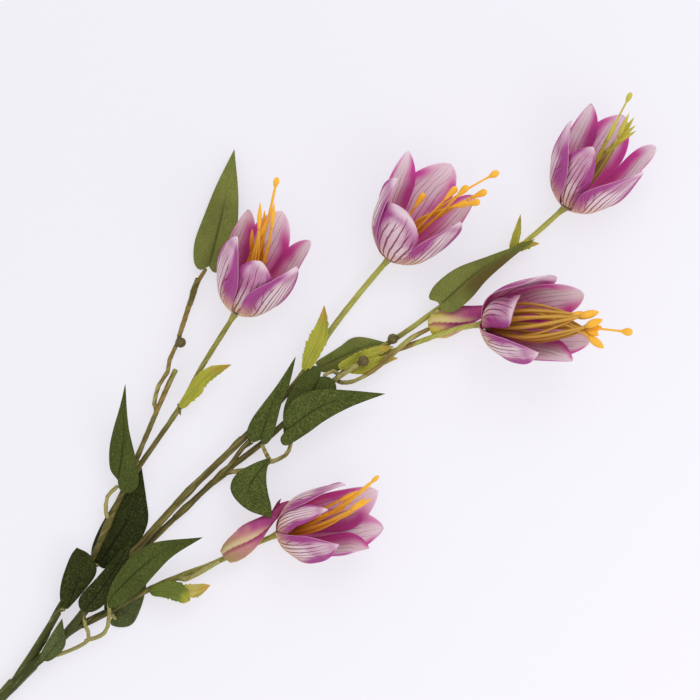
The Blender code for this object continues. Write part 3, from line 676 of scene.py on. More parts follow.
def new_group(name, inputs, outputs):
    """An empty node group with number inputs, or vector ones where no default is given."""
    tree = bpy.data.node_groups.new(name, "ShaderNodeTree")
    for socket, value in inputs.items():
        kind = "NodeSocketVector" if value is None else "NodeSocketFloat"
        made = tree.interface.new_socket(name=socket, in_out="INPUT", socket_type=kind)
        if value is not None:
            made.default_value = value
    for socket in outputs:
        tree.interface.new_socket(name=socket, in_out="OUTPUT", socket_type="NodeSocketFloat")
    weaver = Weaver(tree)
    return weaver, tree.nodes.new("NodeGroupInput").outputs, tree.nodes.new("NodeGroupOutput").inputs


def use_group(weaver, name, inputs):
    node = weaver.tree.nodes.new("ShaderNodeGroup")
    node.node_tree = bpy.data.node_groups[name]
    for key, value in inputs.items():
        weaver.plug(node.inputs[key], value)
    return node.outputs


def new_material(name, roughness, specular):
    material = bpy.data.materials.new(name)
    material.use_nodes = True
    shader = material.node_tree.nodes["Principled BSDF"]
    shader.inputs["Roughness"].default_value = roughness
    shader.inputs["Specular IOR Level"].default_value = specular
    return material, Weaver(material.node_tree), shader


def let_light_through(shader, weight, spread_of_colours, depth):
    """Gives thin stuff its glow. The depth is in mm."""
    shader.inputs["Subsurface Weight"].default_value = weight
    shader.inputs["Subsurface Radius"].default_value = spread_of_colours
    shader.inputs["Subsurface Scale"].default_value = depth * MM


def bump(weaver, shader, height, strength, distance):
    """Raises the surface by a height in 0..1 times a distance in mm."""
    inputs = {"Height": height, "Strength": strength, "Distance": distance * MM}
    weaver.plug(shader.inputs["Normal"], weaver.make("ShaderNodeBump", inputs))


def make_groups():
    """The effects that several materials share."""
    if "cloth_grain" in bpy.data.node_groups:
        return
    # the fine grain of coated cloth, and a cloud of broader patches
    w, given, out = new_group("cloth_grain", {"Place": None, "Size": 0.5}, ["Grain", "Cloud"])
    per_metre = w.calc("DIVIDE", 1 / MM, given["Size"])
    w.plug(out["Grain"], w.noise(given["Place"], per_metre, 3.0, 0.7))
    w.plug(out["Cloud"], w.noise(given["Place"], w.calc("MULTIPLY", per_metre, 0.06), 2.0))

    # trunks that run up a petal from its foot and fork, limbs that fan out to its margins, and
    # faint rungs between the trunks
    w, given, out = new_group(
        "petal_veins",
        {"Across": 0.0, "Along": 0.0, "Place": None, "Lines": 4.4, "Width": 0.1, "Reach": 0.75},
        ["Veins", "Limbs"],
    )
    along = given["Along"]
    stray = w.calc("SUBTRACT", w.noise(given["Place"], 110.0, 2.0), 0.5)
    side = w.calc("ABSOLUTE", given["Across"])
    taper = w.calc("MULTIPLY", given["Lines"], w.band(along, 0.42, 1.05, 1.0, 0.1))
    column = w.calc("MULTIPLY_ADD", stray, 0.5, w.calc("MULTIPLY", given["Across"], taper))
    thick = w.calc("MULTIPLY", given["Width"], w.band(along, 0.05, 0.75, 1.8, 0.6))
    fork = w.calc("MULTIPLY", w.band(along, 0.42, 0.7, 0.0, 0.45), w.calc("SIGN", given["Across"]))
    trunks = w.calc(
        "MAXIMUM", w.stripes(column, thick),
        w.stripes(w.calc("ADD", column, fork), w.calc("MULTIPLY", thick, 0.45)),
    )
    top = w.calc("MULTIPLY_ADD", stray, 0.6, w.calc("MULTIPLY_ADD", side, -0.3, given["Reach"]))
    trunks = w.both(trunks, w.band(along, top, w.calc("SUBTRACT", top, 0.28)), w.band(side, 0.6, 0.46))
    climb = w.calc("MULTIPLY_ADD", w.calc("POWER", side, 1.3), -0.55, along)
    rank = w.calc("MULTIPLY_ADD", stray, 1.6, w.calc("MULTIPLY", climb, 7.0))
    split = w.calc("ADD", rank, w.band(side, 0.5, 0.85, 0.0, 0.5))
    limbs = w.calc("MAXIMUM", w.stripes(rank, 0.07), w.stripes(split, 0.04))
    low = w.calc("MULTIPLY_ADD", stray, 0.5, 0.62)
    limbs = w.both(
        limbs, w.band(side, 0.38, 0.5), w.band(side, 1.0, 0.88),
        w.band(along, low, w.calc("SUBTRACT", low, 0.2)), w.band(along, 0.04, 0.12),
    )
    rung = w.calc("MULTIPLY_ADD", w.calc("ROUND", column), 0.37, w.calc("MULTIPLY", along, 11.0))
    broken = w.noise(given["Place"], 260.0, 1.0)
    rungs = w.both(w.stripes(rung, 0.035), w.band(broken, 0.45, 0.6, 0.0, 0.5), w.band(along, 0.5, 0.35))
    w.plug(out["Veins"], w.calc("MAXIMUM", trunks, rungs))
    w.plug(out["Limbs"], limbs)

    # side veins and a fine net of veins on a leaf
    w, given, out = new_group(
        "leaf_veins", {"Across": 0.0, "Along": 0.0, "Place": None, "Pairs": 9.0}, ["Veins", "Net"]
    )
    side = w.calc("ABSOLUTE", given["Across"])
    wander = w.calc("SUBTRACT", w.noise(given["Place"], 160.0, 2.0), 0.5)
    rib = w.calc("MULTIPLY_ADD", w.calc("POWER", side, 1.4), -0.12, given["Along"])
    rib = w.calc("MULTIPLY_ADD", wander, 0.7, w.calc("MULTIPLY", rib, given["Pairs"]))
    rib_gap = w.calc("ABSOLUTE", w.calc("SUBTRACT", rib, w.calc("ROUND", rib)))
    ribs = w.calc("MULTIPLY", w.band(rib_gap, 0.09, 0.02), w.band(side, 0.95, 0.6))
    w.plug(out["Veins"], ribs)
    cells = w.make(
        "ShaderNodeTexVoronoi", {"Vector": given["Place"], "Scale": 420.0}, feature="DISTANCE_TO_EDGE"
    )
    w.plug(out["Net"], w.band(cells, 0.1, 0.02))


# ---- petals ------------------------------------------------------------------------------------------
def cup_frame(flower):
    """Base point and the axis, upward and sideways directions of a flower, on the plan."""
    base, heading, rise, *_ = FLOWERS[flower]
    turn, slope = math.radians(heading), math.radians(rise)
    ahead = Vector((math.cos(turn), math.sin(turn), 0))
    axis = ahead * math.cos(slope) + UP * math.sin(slope)
    upward = UP * math.cos(slope) - ahead * math.sin(slope)
    return Vector(base), axis, upward, axis.cross(upward)


def petal_outline(v, point):
    """Half-width share along a petal: narrow foot, broad middle, and a tip that is more pointed
    the greater `point` is."""
    arc = max(0.0, math.sin(math.pi * v ** 1.1))
    return max(PETAL_FOOT * (1 - v) + 0.02, arc ** (PETAL_SHOULDER if v < PETAL_BROADEST else point))


def petal_place(flower, index, settings):
    """Places the grid of one of a flower's petals. u is -1 and 1 on its margins."""
    base, axis, upward, sideways = cup_frame(flower)
    outer = index % 2 == 1
    roll, opened = FLOWERS[flower][3:5]
    turned, opened_more, longer, curl = PETALS[flower][index]
    wider, lean, point = FOLDED_PETALS.get(f"{flower}_petal_{index + 1}", PLAIN_PETAL)
    azimuth = math.radians(roll + turned) + index * math.pi / 3
    opening = math.radians(opened + opened_more)
    ring = OUTER_RING if outer else INNER_RING
    proud = PROUD_PETALS.get(f"{flower}_petal_{index + 1}", 0.0)
    swell = proud + (CUP_RADIUS if outer else CUP_RADIUS - INNER_SHRINK)
    rolled = settings.rolled if outer else -0.4 * settings.rolled
    length = CUP_LENGTH * longer
    outward = upward * math.cos(azimuth) + sideways * math.sin(azimuth)
    around = sideways * math.cos(azimuth) - upward * math.sin(azimuth)

    def place(u, v):
        v = 1 - (1 - v) ** 1.5
        along = length * v
        radius = swell * (1 - (1 - v) ** CUP_ROUNDNESS)
        climb = along * math.cos(opening) - radius * math.sin(opening)
        reach = ring + along * math.sin(opening) + radius * math.cos(opening)
        share = 1 + (wider - 1) * min(1.0, v / 0.55) ** 1.3
        half = settings.width / 2 * share * petal_outline(v, point)
        bend = (u + lean * math.sin(math.pi * v)) * half / reach
        rim = outward * math.cos(bend) + around * math.sin(bend)
        wave = math.sin(v * 9 + index * 1.7 + base.y) * settings.ripple * abs(u) ** 3 * v
        fold = settings.crease * math.exp(-((u * half / 2.5) ** 2)) * math.sin(math.pi * v) ** 0.5
        margin = rolled * abs(u) ** 6 * math.sin(math.pi * v)
        tip = curl * max(0.0, (v - 0.65) / 0.35) ** 2
        lift = 0 if outer else INNER_LIFT
        return in_frame(base + axis * (climb + lift) + rim * (reach + wave + fold + margin + tip))

    return place


def petal_material(name, settings, inside):
    """Printed cloth: veins on a pale ground between violet margins."""
    material, w, shader = new_material(name, roughness=0.65, specular=0.15)
    let_light_through(shader, settings.glow, (1.0, 0.7, 0.9), 1.2)
    across, along = w.uv()
    place = w.place()
    veins = use_group(
        w, "petal_veins",
        {"Across": across, "Along": along, "Place": place, "Width": 0.06 if inside else 0.1,
         "Reach": 1.05 if inside else 0.95},
    )
    grain = use_group(w, "cloth_grain", {"Place": place, "Size": 0.35})
    side = w.calc("ABSOLUTE", across)
    cloud = w.calc("SUBTRACT", w.noise(place, 45.0, 1.0), 0.5)
    edge = w.calc("MULTIPLY_ADD", cloud, 0.8, side)
    if inside:
        margin = w.band(edge, 0.25, 0.85)
        colour = w.mix(margin, settings.ground, settings.margin)
        # towards the inner foot the petals take the throat colour: painted shade deep in the cup
        depth = w.band(w.calc("MULTIPLY_ADD", cloud, 0.3, along), 0.5, 0.08, 0.0, 0.85)
        colour = w.mix(depth, colour, settings.painted_throat_shade)
        ink, branches = 0.55, 0.0
    else:
        margin = w.band(edge, 0.26, 0.74)
        upper = w.band(w.calc("MULTIPLY_ADD", cloud, 1.2, along), 0.35, 0.75, 0.0, 0.75)
        margin = w.calc("MAXIMUM", margin, upper)
        colour = w.mix(margin, settings.outer_ground, settings.outer_margin)
        foot = w.band(w.calc("MULTIPLY_ADD", cloud, 0.2, along), 0.36, 0.04, 0.0, 0.9)
        colour = w.mix(foot, colour, settings.foot)
        ink, branches = 0.88, 0.8
    tip = w.band(w.calc("MULTIPLY_ADD", cloud, 0.7, along), 0.62, 0.95, 0.0, 0.85)
    colour = w.mix(tip, colour, settings.ground)
    drawn = w.calc("MULTIPLY", veins["Veins"], ink)
    drawn = w.calc("MAXIMUM", drawn, w.calc("MULTIPLY", veins["Limbs"], branches))
    colour = w.mix(drawn, colour, settings.vein)
    speck = w.band(grain["Grain"], 0.35, 0.65, 0.0, 0.1)
    colour = w.mix(speck, colour, settings.vein)
    w.plug(shader.inputs["Base Color"], colour)
    w.plug(shader.inputs["Roughness"], w.band(grain["Grain"], 0.3, 0.7, 0.58, 0.75))
    height = w.calc("MULTIPLY_ADD", veins["Veins"], -0.5, grain["Grain"])
    bump(w, shader, height, strength=0.25, distance=0.12)
    return material


def shift_print(bm, share):
    """Moves the print sideways on a petal."""
    layer = bm.loops.layers.uv.active
    for face in bm.faces:
        for loop in face.loops:
            loop[layer].uv.x -= share / 2


def cut_edge_material(settings):
    material, w, shader = new_material("petal_cut_edge", roughness=0.7, specular=0.1)
    grain = use_group(w, "cloth_grain", {"Place": w.place(), "Size": 0.35})
    colour = w.mix(w.band(grain["Grain"], 0.4, 0.7, 0.0, 0.3), settings.cut, settings.outer_margin)
    w.plug(shader.inputs["Base Color"], colour)
    return material


class FRITILLARY_OT_petals(bpy.types.Operator):
    """Makes the six petals of each flower"""

    bl_idname = "fritillary.petals"
    bl_label = "Petals"

    def execute(self, context):
        settings = context.scene.fritillary_petals
        make_groups()
        outside = petal_material("petal_outside", settings, False)
        inside = petal_material("petal_inside", settings, True)
        cut = cut_edge_material(settings)
        for flower in FLOWERS:
            for index in range(6):
                node = f"{flower}_petal_{index + 1}"
                bm = sheet_bmesh(petal_place(flower, index, settings), settings.across, settings.along)
                shift_print(bm, PRINT_SHIFTS.get(node, 0.0))
                piece = add_piece(f"{node}_cloth", bm, [outside, inside, cut], [node])
                thicken(piece, settings.thickness, back=1, rim=2)
        return {"FINISHED"}


# ---- flower centres ------------------------------------------------------------------------------------
def smooth_route(points, steps):
    """A curve of `steps` legs for each span through the given points."""
    knots = [Vector(p) for p in points]
    knots = [2 * knots[0] - knots[1], *knots, 2 * knots[-1] - knots[-2]]
    route = [knots[1]]
    for a, b, c, d in zip(knots, knots[1:], knots[2:], knots[3:]):
        for step in range(1, steps + 1):
            t = step / steps
            route.append(
                0.5 * (2 * b + (c - a) * t + (2 * a - 5 * b + 4 * c - d) * t * t
                       + (3 * b - a - 3 * c + d) * t ** 3)
            )
    return route


def spread(values, count):
    """`count` values drawn evenly from a short row of them."""
    made = []
    for index in range(count):
        share = index / (count - 1) * (len(values) - 1)
        low = min(int(share), len(values) - 2)
        made.append(values[low] + (values[low + 1] - values[low]) * (share - low))
    return made


def stamen_material(name, ripe, stalk):
    """Moulded plastic that ripens over the filaments to the anthers, the filaments' dark feet being
    painted shade deep in the cup.
    """
    material, w, shader = new_material(name, roughness=0.42, specular=0.5)
    along = w.mark("along")
    grain = use_group(w, "cloth_grain", {"Place": w.place(), "Size": 0.6})
    ripeness = w.calc("MULTIPLY_ADD", w.calc("SUBTRACT", grain["Cloud"], 0.5), 0.3, along)
    colour = w.mix(w.band(ripeness, FILAMENT_END - 0.05, FILAMENT_END + 0.15), stalk, ripe)
    # painted shade: the filaments darken towards their feet, deep in the cup
    colour = w.mix(w.band(along, 0.34, 0.04, 0.0, 0.72), colour, shaded(stalk, 0.4))
    colour = w.mix(w.band(grain["Grain"], 0.4, 0.75, 0.0, 0.25), colour, stalk)
    w.plug(shader.inputs["Base Color"], colour)
    bump(w, shader, grain["Grain"], strength=0.2, distance=0.15)
    return material


def centre_route(base, axis, tip, bow, steps):
    """Points of an arc that leaves along the axis, bows out and ends at the tip."""
    knee = axis * tip.length * 0.45
    route = []
    for step in range(steps + 1):
        t = 0.06 + 0.94 * step / steps
        route.append(base + knee * 2 * t * (1 - t) + tip * t * t + bow * math.sin(math.pi * t))
    return route


def slanting(base, end, rise):
    """The way from the base to a point above the plan's `end`, at this slope."""
    flat = Vector((end[0] - base.x, end[1] - base.y, 0))
    return flat + UP * flat.length * math.tan(rise)


def add_stamen(bm, route, anther, girth, shape):
    """One filament with a flattened anther at its end. Gives back the point where they meet."""
    ahead = (route[-1] - route[-3]).normalized()
    neck = route[-1] - ahead * anther
    stem = [point for point in route if (point - route[-1]).length > anther] + [neck]
    sweep(bm, stem, spread([girth * 1.3, girth], len(stem)), sides=6, marks=(0.0, FILAMENT_END))
    blade = [neck + ahead * anther * share for share in ANTHER_SHARES]
    shape = [max(shape[0], 0.9 * girth), *shape[1:]]
    sweep(bm, blade, shape, sides=8, squash=ANTHER_FLATNESS, marks=(FILAMENT_END, 1.0))
    return neck


def add_pistil(bm, base, axis, way, girth, knob):
    """A tapering style with a knob at its end."""
    style = centre_route(base, axis, way, Vector((0, 0, 0)), steps=22)
    style = [point for point in style if (point - style[-1]).length > KNOB[-1][0]]
    ahead = (base + way - style[-1]).normalized()
    girths = spread([girth * 1.2, girth, girth * 0.9], len(style))
    for back, share in reversed(KNOB):
        style.append(base + way - ahead * back)
        girths.append(max(share * knob, girth * 0.5))
    sweep(bm, style, girths, sides=10)


def centre_bmesh(flower, bow):
    """A flower's receptacle, pistil and stamens as closed tubes on the plan."""
    base, axis, upward, sideways = cup_frame(flower)
    kind, blade, filament, style_girth, knob, ends = CENTRES[flower]
    bow *= BOWS.get(flower, 1.0)
    bm = bmesh.new()
    steps, radii = zip(*RECEPTACLE)
    sweep(bm, [base + axis * step for step in steps], radii, sides=12)
    add_pistil(bm, base, axis, slanting(base, FLOWERS[flower][5], PISTIL_RISE), style_girth, knob)
    for index, end in enumerate(ends):
        turn = index * WHOLE_TURN / len(ends) + 0.4
        lean = upward * math.cos(turn) + sideways * math.sin(turn)
        tip = slanting(base, end, STAMEN_RISE + STAMEN_STRAY * math.sin(index * 2.3))
        route = centre_route(base, axis, tip, lean * bow, steps=18)
        neck = add_stamen(bm, route, min(blade, 0.3 * tip.length), filament / 2, ANTHERS[kind])
        for strand in range(1, STRANDS.get(flower, 1)):
            apart = Matrix.Rotation(STRAND_TURN * (-1) ** strand, 3, axis) @ lean
            strip = centre_route(base, axis, neck - base, apart * bow, steps=18)
            girths = spread([filament * 0.75, filament * 0.4], len(strip))
            flat = [STRAND_FLATNESS] * len(strip)
            sweep(bm, strip, girths, sides=6, squash=flat, marks=(0.0, FILAMENT_END))
    finish_tubes(bm)
    return bm


class FRITILLARY_OT_stamens(bpy.types.Operator):
    """Makes the stamens and pistil of each flower"""

    bl_idname = "fritillary.stamens"
    bl_label = "Stamens"

    def execute(self, context):
        settings = context.scene.fritillary_stamens
        make_groups()
        ripe = stamen_material("stamen_orange", settings.ripe, settings.stalk)
        green = stamen_material("stamen_green", settings.green, settings.green_stalk)
        brown = stamen_material("stamen_brown", settings.ripe, settings.brown_stalk)
        kinds = {"flower_3": green, "flower_4": brown}
        for flower in FLOWERS:
            bm = centre_bmesh(flower, settings.bow)
            add_piece(f"{flower}_centre", bm, [kinds.get(flower, ripe)], [f"{flower}_stamens"])
        return {"FINISHED"}


# ---- buds --------------------------------------------------------------------------------------------
def bud_material(name, settings, foot):
    """Cloth that turns from its foot's colour to magenta, paler at each wrapped petal's margin."""
    material, w, shader = new_material(name, roughness=0.62, specular=0.15)
    let_light_through(shader, 0.4, (1.0, 0.6, 0.6), 1.0)
    across, along = w.uv()
    place = w.place()
    grain = use_group(w, "cloth_grain", {"Place": place, "Size": 0.35})
    cloud = w.calc("SUBTRACT", grain["Cloud"], 0.5)
    wound = w.mark("wound")
    rise = w.calc("MULTIPLY_ADD", cloud, 0.5, w.calc("MULTIPLY_ADD", wound, 0.25, along))
    colour = w.mix(w.band(rise, 0.2, 0.5), foot, settings.cheek)
    colour = w.mix(w.band(rise, 0.42, 0.78), colour, settings.point)
    streak = w.streaks(across, along, 14.0, 3.0)
    colour = w.mix(w.band(streak, 0.5, 0.75, 0.0, 0.45), colour, settings.point)
    flap = w.both(w.band(wound, 0.34, 0.06, 0.0, 0.7), w.band(along, 0.8, 0.45))
    colour = w.mix(flap, colour, settings.flap)
    # painted shade: a dark line where each wrapped petal tucks under the next one's edge
    colour = w.mix(w.band(wound, 0.78, 0.98, 0.0, 0.75), colour, settings.crease)
    w.plug(shader.inputs["Base Color"], colour)
    bump(w, shader, grain["Grain"], strength=0.2, distance=0.12)
    return material


def bud_bmesh(base, tip, wide, high, shape, settings):
    """A bud's closed skin. Its attribute "wound" runs from 0 to 1 across each wrapped petal."""
    base, tip = Vector(base), Vector(tip)
    ahead = (tip - base).normalized()
    leftward = UP.cross(ahead).normalized()
    normal = ahead.cross(leftward)
    rings = spread(shape, BUD_RINGS + 1)

    def wound_at(u, v):
        return (BUD_PETALS / 2 * (u + 1) + settings.turn * BUD_PETALS * v) % 1

    def place(u, v):
        v = min(max(v, 0.0), 1.0)
        angle = -u * math.pi
        wrap = settings.fold * (1 - wound_at(u, v)) ** 2 * math.sin(math.pi * v) ** 0.5
        swell = rings[round(v * BUD_RINGS)] * (1 - settings.fold / 2 + wrap)
        if v in (0, 1):
            swell = 0
        side = leftward * (wide * swell * math.cos(angle))
        rise = normal * (high * swell * math.sin(angle))
        return in_frame(base + ahead * (tip - base).length * v + side + rise)

    bm = sheet_bmesh(place, BUD_SIDES, BUD_RINGS, {"wound": wound_at})
    bmesh.ops.recalc_face_normals(bm, faces=bm.faces)
    return bm


def add_withered_end(name, route, radii, colour, crease):
    bm = bmesh.new()
    route = smooth_route(route, steps=4)
    sweep(bm, route, spread(radii, len(route)), sides=10)
    finish_tubes(bm)
    material, w, shader = new_material(f"{name}_cloth", roughness=0.7, specular=0.15)
    grain = use_group(w, "cloth_grain", {"Place": w.place(), "Size": 0.6})
    w.plug(shader.inputs["Base Color"], w.mix(grain["Cloud"], colour, crease))
    bump(w, shader, grain["Grain"], strength=0.3, distance=0.2)
    add_piece(name, bm, [material])


class FRITILLARY_OT_buds(bpy.types.Operator):
    """Makes the closed buds, with their petals wrapped round each other"""

    bl_idname = "fritillary.buds"
    bl_label = "Buds"

    def execute(self, context):
        settings = context.scene.fritillary_buds
        make_groups()
        limed = bud_material("bud_lime", settings, settings.foot)
        faded = bud_material("bud_faded", settings, settings.faded)
        for name, shape in BUDS.items():
            bm = bud_bmesh(*shape, settings)
            add_piece(f"{name}_cloth", bm, [limed if name == "bud_1" else faded], [name])
        for name, (route, radii) in BUD_ENDS.items():
            colour = settings.spike if name == "bud_2_spike" else settings.point
            add_withered_end(name, route, radii, colour, settings.crease)
        return {"FINISHED"}


# ---- stems -------------------------------------------------------------------------------------------
def leg_distance(point, start, end):
    """How far a point is from a straight leg."""
    leg = end - start
    share = min(1.0, max(0.0, (point - start).dot(leg) / leg.length_squared))
    return (point - start - leg * share).length


def stem_material(settings):
    """Moulded plastic: dark and woody by the cut end, green by the flowers, tan where slender."""
    material, w, shader = new_material("stem_plastic", roughness=0.55, specular=0.25)
    place = w.place()
    young, grown = w.mark("young"), w.mark("grown")
    grain = use_group(w, "cloth_grain", {"Place": place, "Size": 0.9})
    patches = w.noise(place, 90.0, 3.0, 0.6)
    colour = w.mix(grown, settings.old, settings.middle)
    woody = w.both(w.calc("MULTIPLY_ADD", grown, 0.75, 0.25), w.calc("MULTIPLY_ADD", young, -0.65, 1.0))
    colour = w.mix(w.both(w.band(patches, 0.48, 0.62, 0.0, 0.45), woody), colour, settings.bark)
    drawn = w.make("ShaderNodeVectorMath", {0: place, 1: (0.07, 1.0, 1.0)}, operation="MULTIPLY")
    streaks = w.noise(drawn, 900.0)
    colour = w.mix(young, colour, settings.young)
    colour = w.mix(w.calc("MULTIPLY", w.mark("slender"), 0.8), colour, settings.slender)
    colour = w.mix(w.mark("tendril"), colour, settings.tendril)
    colour = w.mix(w.mark("nodule"), colour, settings.nodule)
    colour = w.mix(w.band(grain["Grain"], 0.4, 0.8, 0.0, 0.3), colour, settings.bark)
    colour = w.mix(w.both(w.band(streaks, 0.5, 0.62, 0.0, 0.65), woody), colour, settings.bark)
    # pale streaks along the stems: streaky colour that also paints highlights along them
    colour = w.mix(w.band(streaks, 0.47, 0.36, 0.0, 0.28), colour, settings.slender)
    w.plug(shader.inputs["Base Color"], colour)
    w.plug(shader.inputs["Roughness"], w.band(grain["Grain"], 0.3, 0.7, 0.42, 0.6))
    bump(w, shader, grain["Grain"], strength=0.3, distance=0.25)
    return material


def girth_at(tree, vert):
    """How thick the stem is under a vertex, in metres."""
    start = vert.co - vert.normal * 0.1 * MM
    hit = tree.ray_cast(start, -vert.normal)
    return hit[3] if hit[0] else 1.0


def remeshed(node, grain):
    """A copy of a node's mesh with small, even faces."""
    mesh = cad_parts[node].data.copy()
    bm = bmesh.new()
    bm.from_mesh(mesh)
    bmesh.ops.remove_doubles(bm, verts=bm.verts, dist=SEAM_GAP)
    bm.to_mesh(mesh)
    bm.free()
    holder = bpy.data.objects.new("holder", mesh)
    bpy.context.scene.collection.objects.link(holder)
    even = holder.modifiers.new("even", "REMESH")
    even.mode = "VOXEL"
    even.voxel_size = grain * MM
    graph = bpy.context.evaluated_depsgraph_get()
    made = bpy.data.meshes.new_from_object(holder.evaluated_get(graph))
    bpy.data.objects.remove(holder)
    bm = bmesh.new()
    bm.from_mesh(made)
    axes = {f"use_axis_{axis}": True for axis in "xyz"}
    for _ in range(4):
        bmesh.ops.smooth_vert(bm, verts=bm.verts, factor=0.5, **axes)
    return bm


def mark_age(bm):
    """Marks each vertex with 0 by the cut end, where the stems are woody, to 1 past there."""
    grown = bm.verts.layers.float.new("grown")
    cut = in_frame(CUT_END)
    for vert in bm.verts:
        vert[grown] = 1 - nearness((vert.co - cut).length, *WOODY)


def bend(bm, middle, reach, shift):
    """Shifts what is within reach of the middle, most there and less towards the reach."""
    for vert in bm.verts:
        near = max(0.0, 1 - (vert.co - in_frame(middle)).length / (reach * MM))
        vert.co += PLAN_TURN @ Vector(shift) * (MM * near * near * (3 - 2 * near))


def add_joint(name, route, radii, material, young_share):
    """A moulded joint or swelling: a rounded tube along the route."""
    bm = bmesh.new()
    young = bm.verts.layers.float.new("young")
    route = smooth_route(route, steps=4)
    sweep(bm, route, spread(radii, len(route)), sides=16)
    finish_tubes(bm)
    for vert in bm.verts:
        vert[young] = young_share
    mark_age(bm)
    add_piece(name, bm, [material])


def add_swelling(flower, material):
    """The green swelling that carries a flower on its stalk."""
    base, axis, *_ = cup_frame(flower)
    ahead = (base - Vector(STALK_BENDS[flower])).normalized()
    route = [base - ahead * 9, base - ahead * 4.5, base - ahead * 2, base + axis * 0.6, base + axis * 3]
    add_joint(f"{flower}_swelling", route, [1.2, 1.75, 2.3, 4.3, 3.6], material, 0.8)


def dress_stem(bm, stalks, green, settings):
    """Marks a stem's vertices for its material, and gives it its swells, dips and thickness."""
    routes = [[in_frame(point) for point in route] for route in TENDRILS]
    tendrils = [leg for route in routes for leg in zip(route, route[1:])]
    nodules = [in_frame(middle) for middle in NODULES]
    layers = {name: bm.verts.layers.float.new(name) for name in MARKS}
    bm.normal_update()
    tree = BVHTree.FromBMesh(bm)
    shifts = []
    for vert in bm.verts:
        girth = girth_at(tree, vert)
        distances = {
            "young": min((vert.co - stalk).length for stalk in stalks),
            "tendril": min(leg_distance(vert.co, *leg) for leg in tendrils),
            "nodule": min((vert.co - middle).length for middle in nodules),
            "slender": girth,
        }
        for name, distance in distances.items():
            vert[layers[name]] = nearness(distance, *MARKS[name]) * (green if name == "young" else 1)
        swell = noise.noise(vert.co * 160) + 0.5 * noise.noise(vert.co * 420)
        slim = settings.slim * (1 - nearness(girth, *SLIMMED))
        full = settings.full * (1 + vert[layers["slender"]])
        shifts.append(vert.normal * (swell * settings.knots - slim + full) * MM)
    for vert, shift in zip(bm.verts, shifts):
        vert.co += shift


class FRITILLARY_OT_stems(bpy.types.Operator):
    """Rounds and roughens copies of the frame's stems, and adds their moulded joints"""

    bl_idname = "fritillary.stems"
    bl_label = "Stems"

    def execute(self, context):
        settings = context.scene.fritillary_stems
        make_groups()
        material = stem_material(settings)
        for node, (carried, green) in STEMS.items():
            stalks = [in_frame(FLOWERS[flower][0]) for flower in carried]
            bm = remeshed(node, settings.grain)
            dress_stem(bm, stalks, green, settings)
            if node in NUDGES:
                bend(bm, *NUDGES[node])
            mark_age(bm)
            add_piece(f"{node}_bark", bm, [material], [node])
        for flower in FLOWERS:
            add_swelling(flower, material)
        for name, (route, radii) in JOINTS.items():
            add_joint(name, route, radii, material, 0.05)
        return {"FINISHED"}


# ---- leaves and bracts ---------------------------------------------------------------------------------
def evenly(route, count):
    """`count` points spaced evenly along a curve through the route's points."""
    fine = smooth_route(route, steps=8)
    reach = [0.0]
    for start, end in zip(fine, fine[1:]):
        reach.append(reach[-1] + (end - start).length)
    made, leg = [], 0
    for index in range(count):
        wanted = reach[-1] * index / (count - 1)
        while leg < len(fine) - 2 and reach[leg + 1] < wanted:
            leg += 1
        made.append(fine[leg].lerp(fine[leg + 1], (wanted - reach[leg]) / (reach[leg + 1] - reach[leg])))
    return made


def blade_place(heights, arch, fold, start, end, left, right, steps, groove, wave, teeth=0.0):
    """Places a blade's grid between its two margins. u is -1 on the left margin and 1 on the right."""
    margins = {}
    for side, points in ((-1, left), (1, right)):
        margins[side] = evenly([Vector((x, y, 0)) for x, y in (start, *points, end)], steps + 1)
    base, tip = margins[1][0], margins[1][-1]
    ribs = [base]
    for share in (0.5, 0.75):
        at = round(share * steps)
        ribs.append((margins[-1][at] + margins[1][at]) / 2)
    rib = evenly([*ribs, tip], 4 * steps + 1)

    def place(u, v):
        step = round(v * steps)
        v = step / steps
        side = 1 if u > 0 else -1
        out = abs(u)
        middle = rib[round(4 * steps * v ** 1.4)]
        rim = margins[side][step]
        spoiled = 1 - teeth * (noise.noise(rim * 0.9 + UP * side) + 0.3) * math.sin(math.pi * v)
        point = middle + (rim - middle) * (out * (spoiled if out > 0.99 else 1))
        far = (rim - middle).length * out
        rise = heights[0] + (heights[1] - heights[0]) * v + arch * 4 * v * (1 - v) + fold * far
        rise += wave * out ** 2 * math.sin(v * 10 + base.x + side) * math.sin(math.pi * v)
        rise -= groove * math.exp(-((far / GROOVE_WIDTH) ** 2)) * math.sin(math.pi * v) ** 0.5
        return in_frame(point + UP * max(rise, LOWEST_BLADE))

    return place


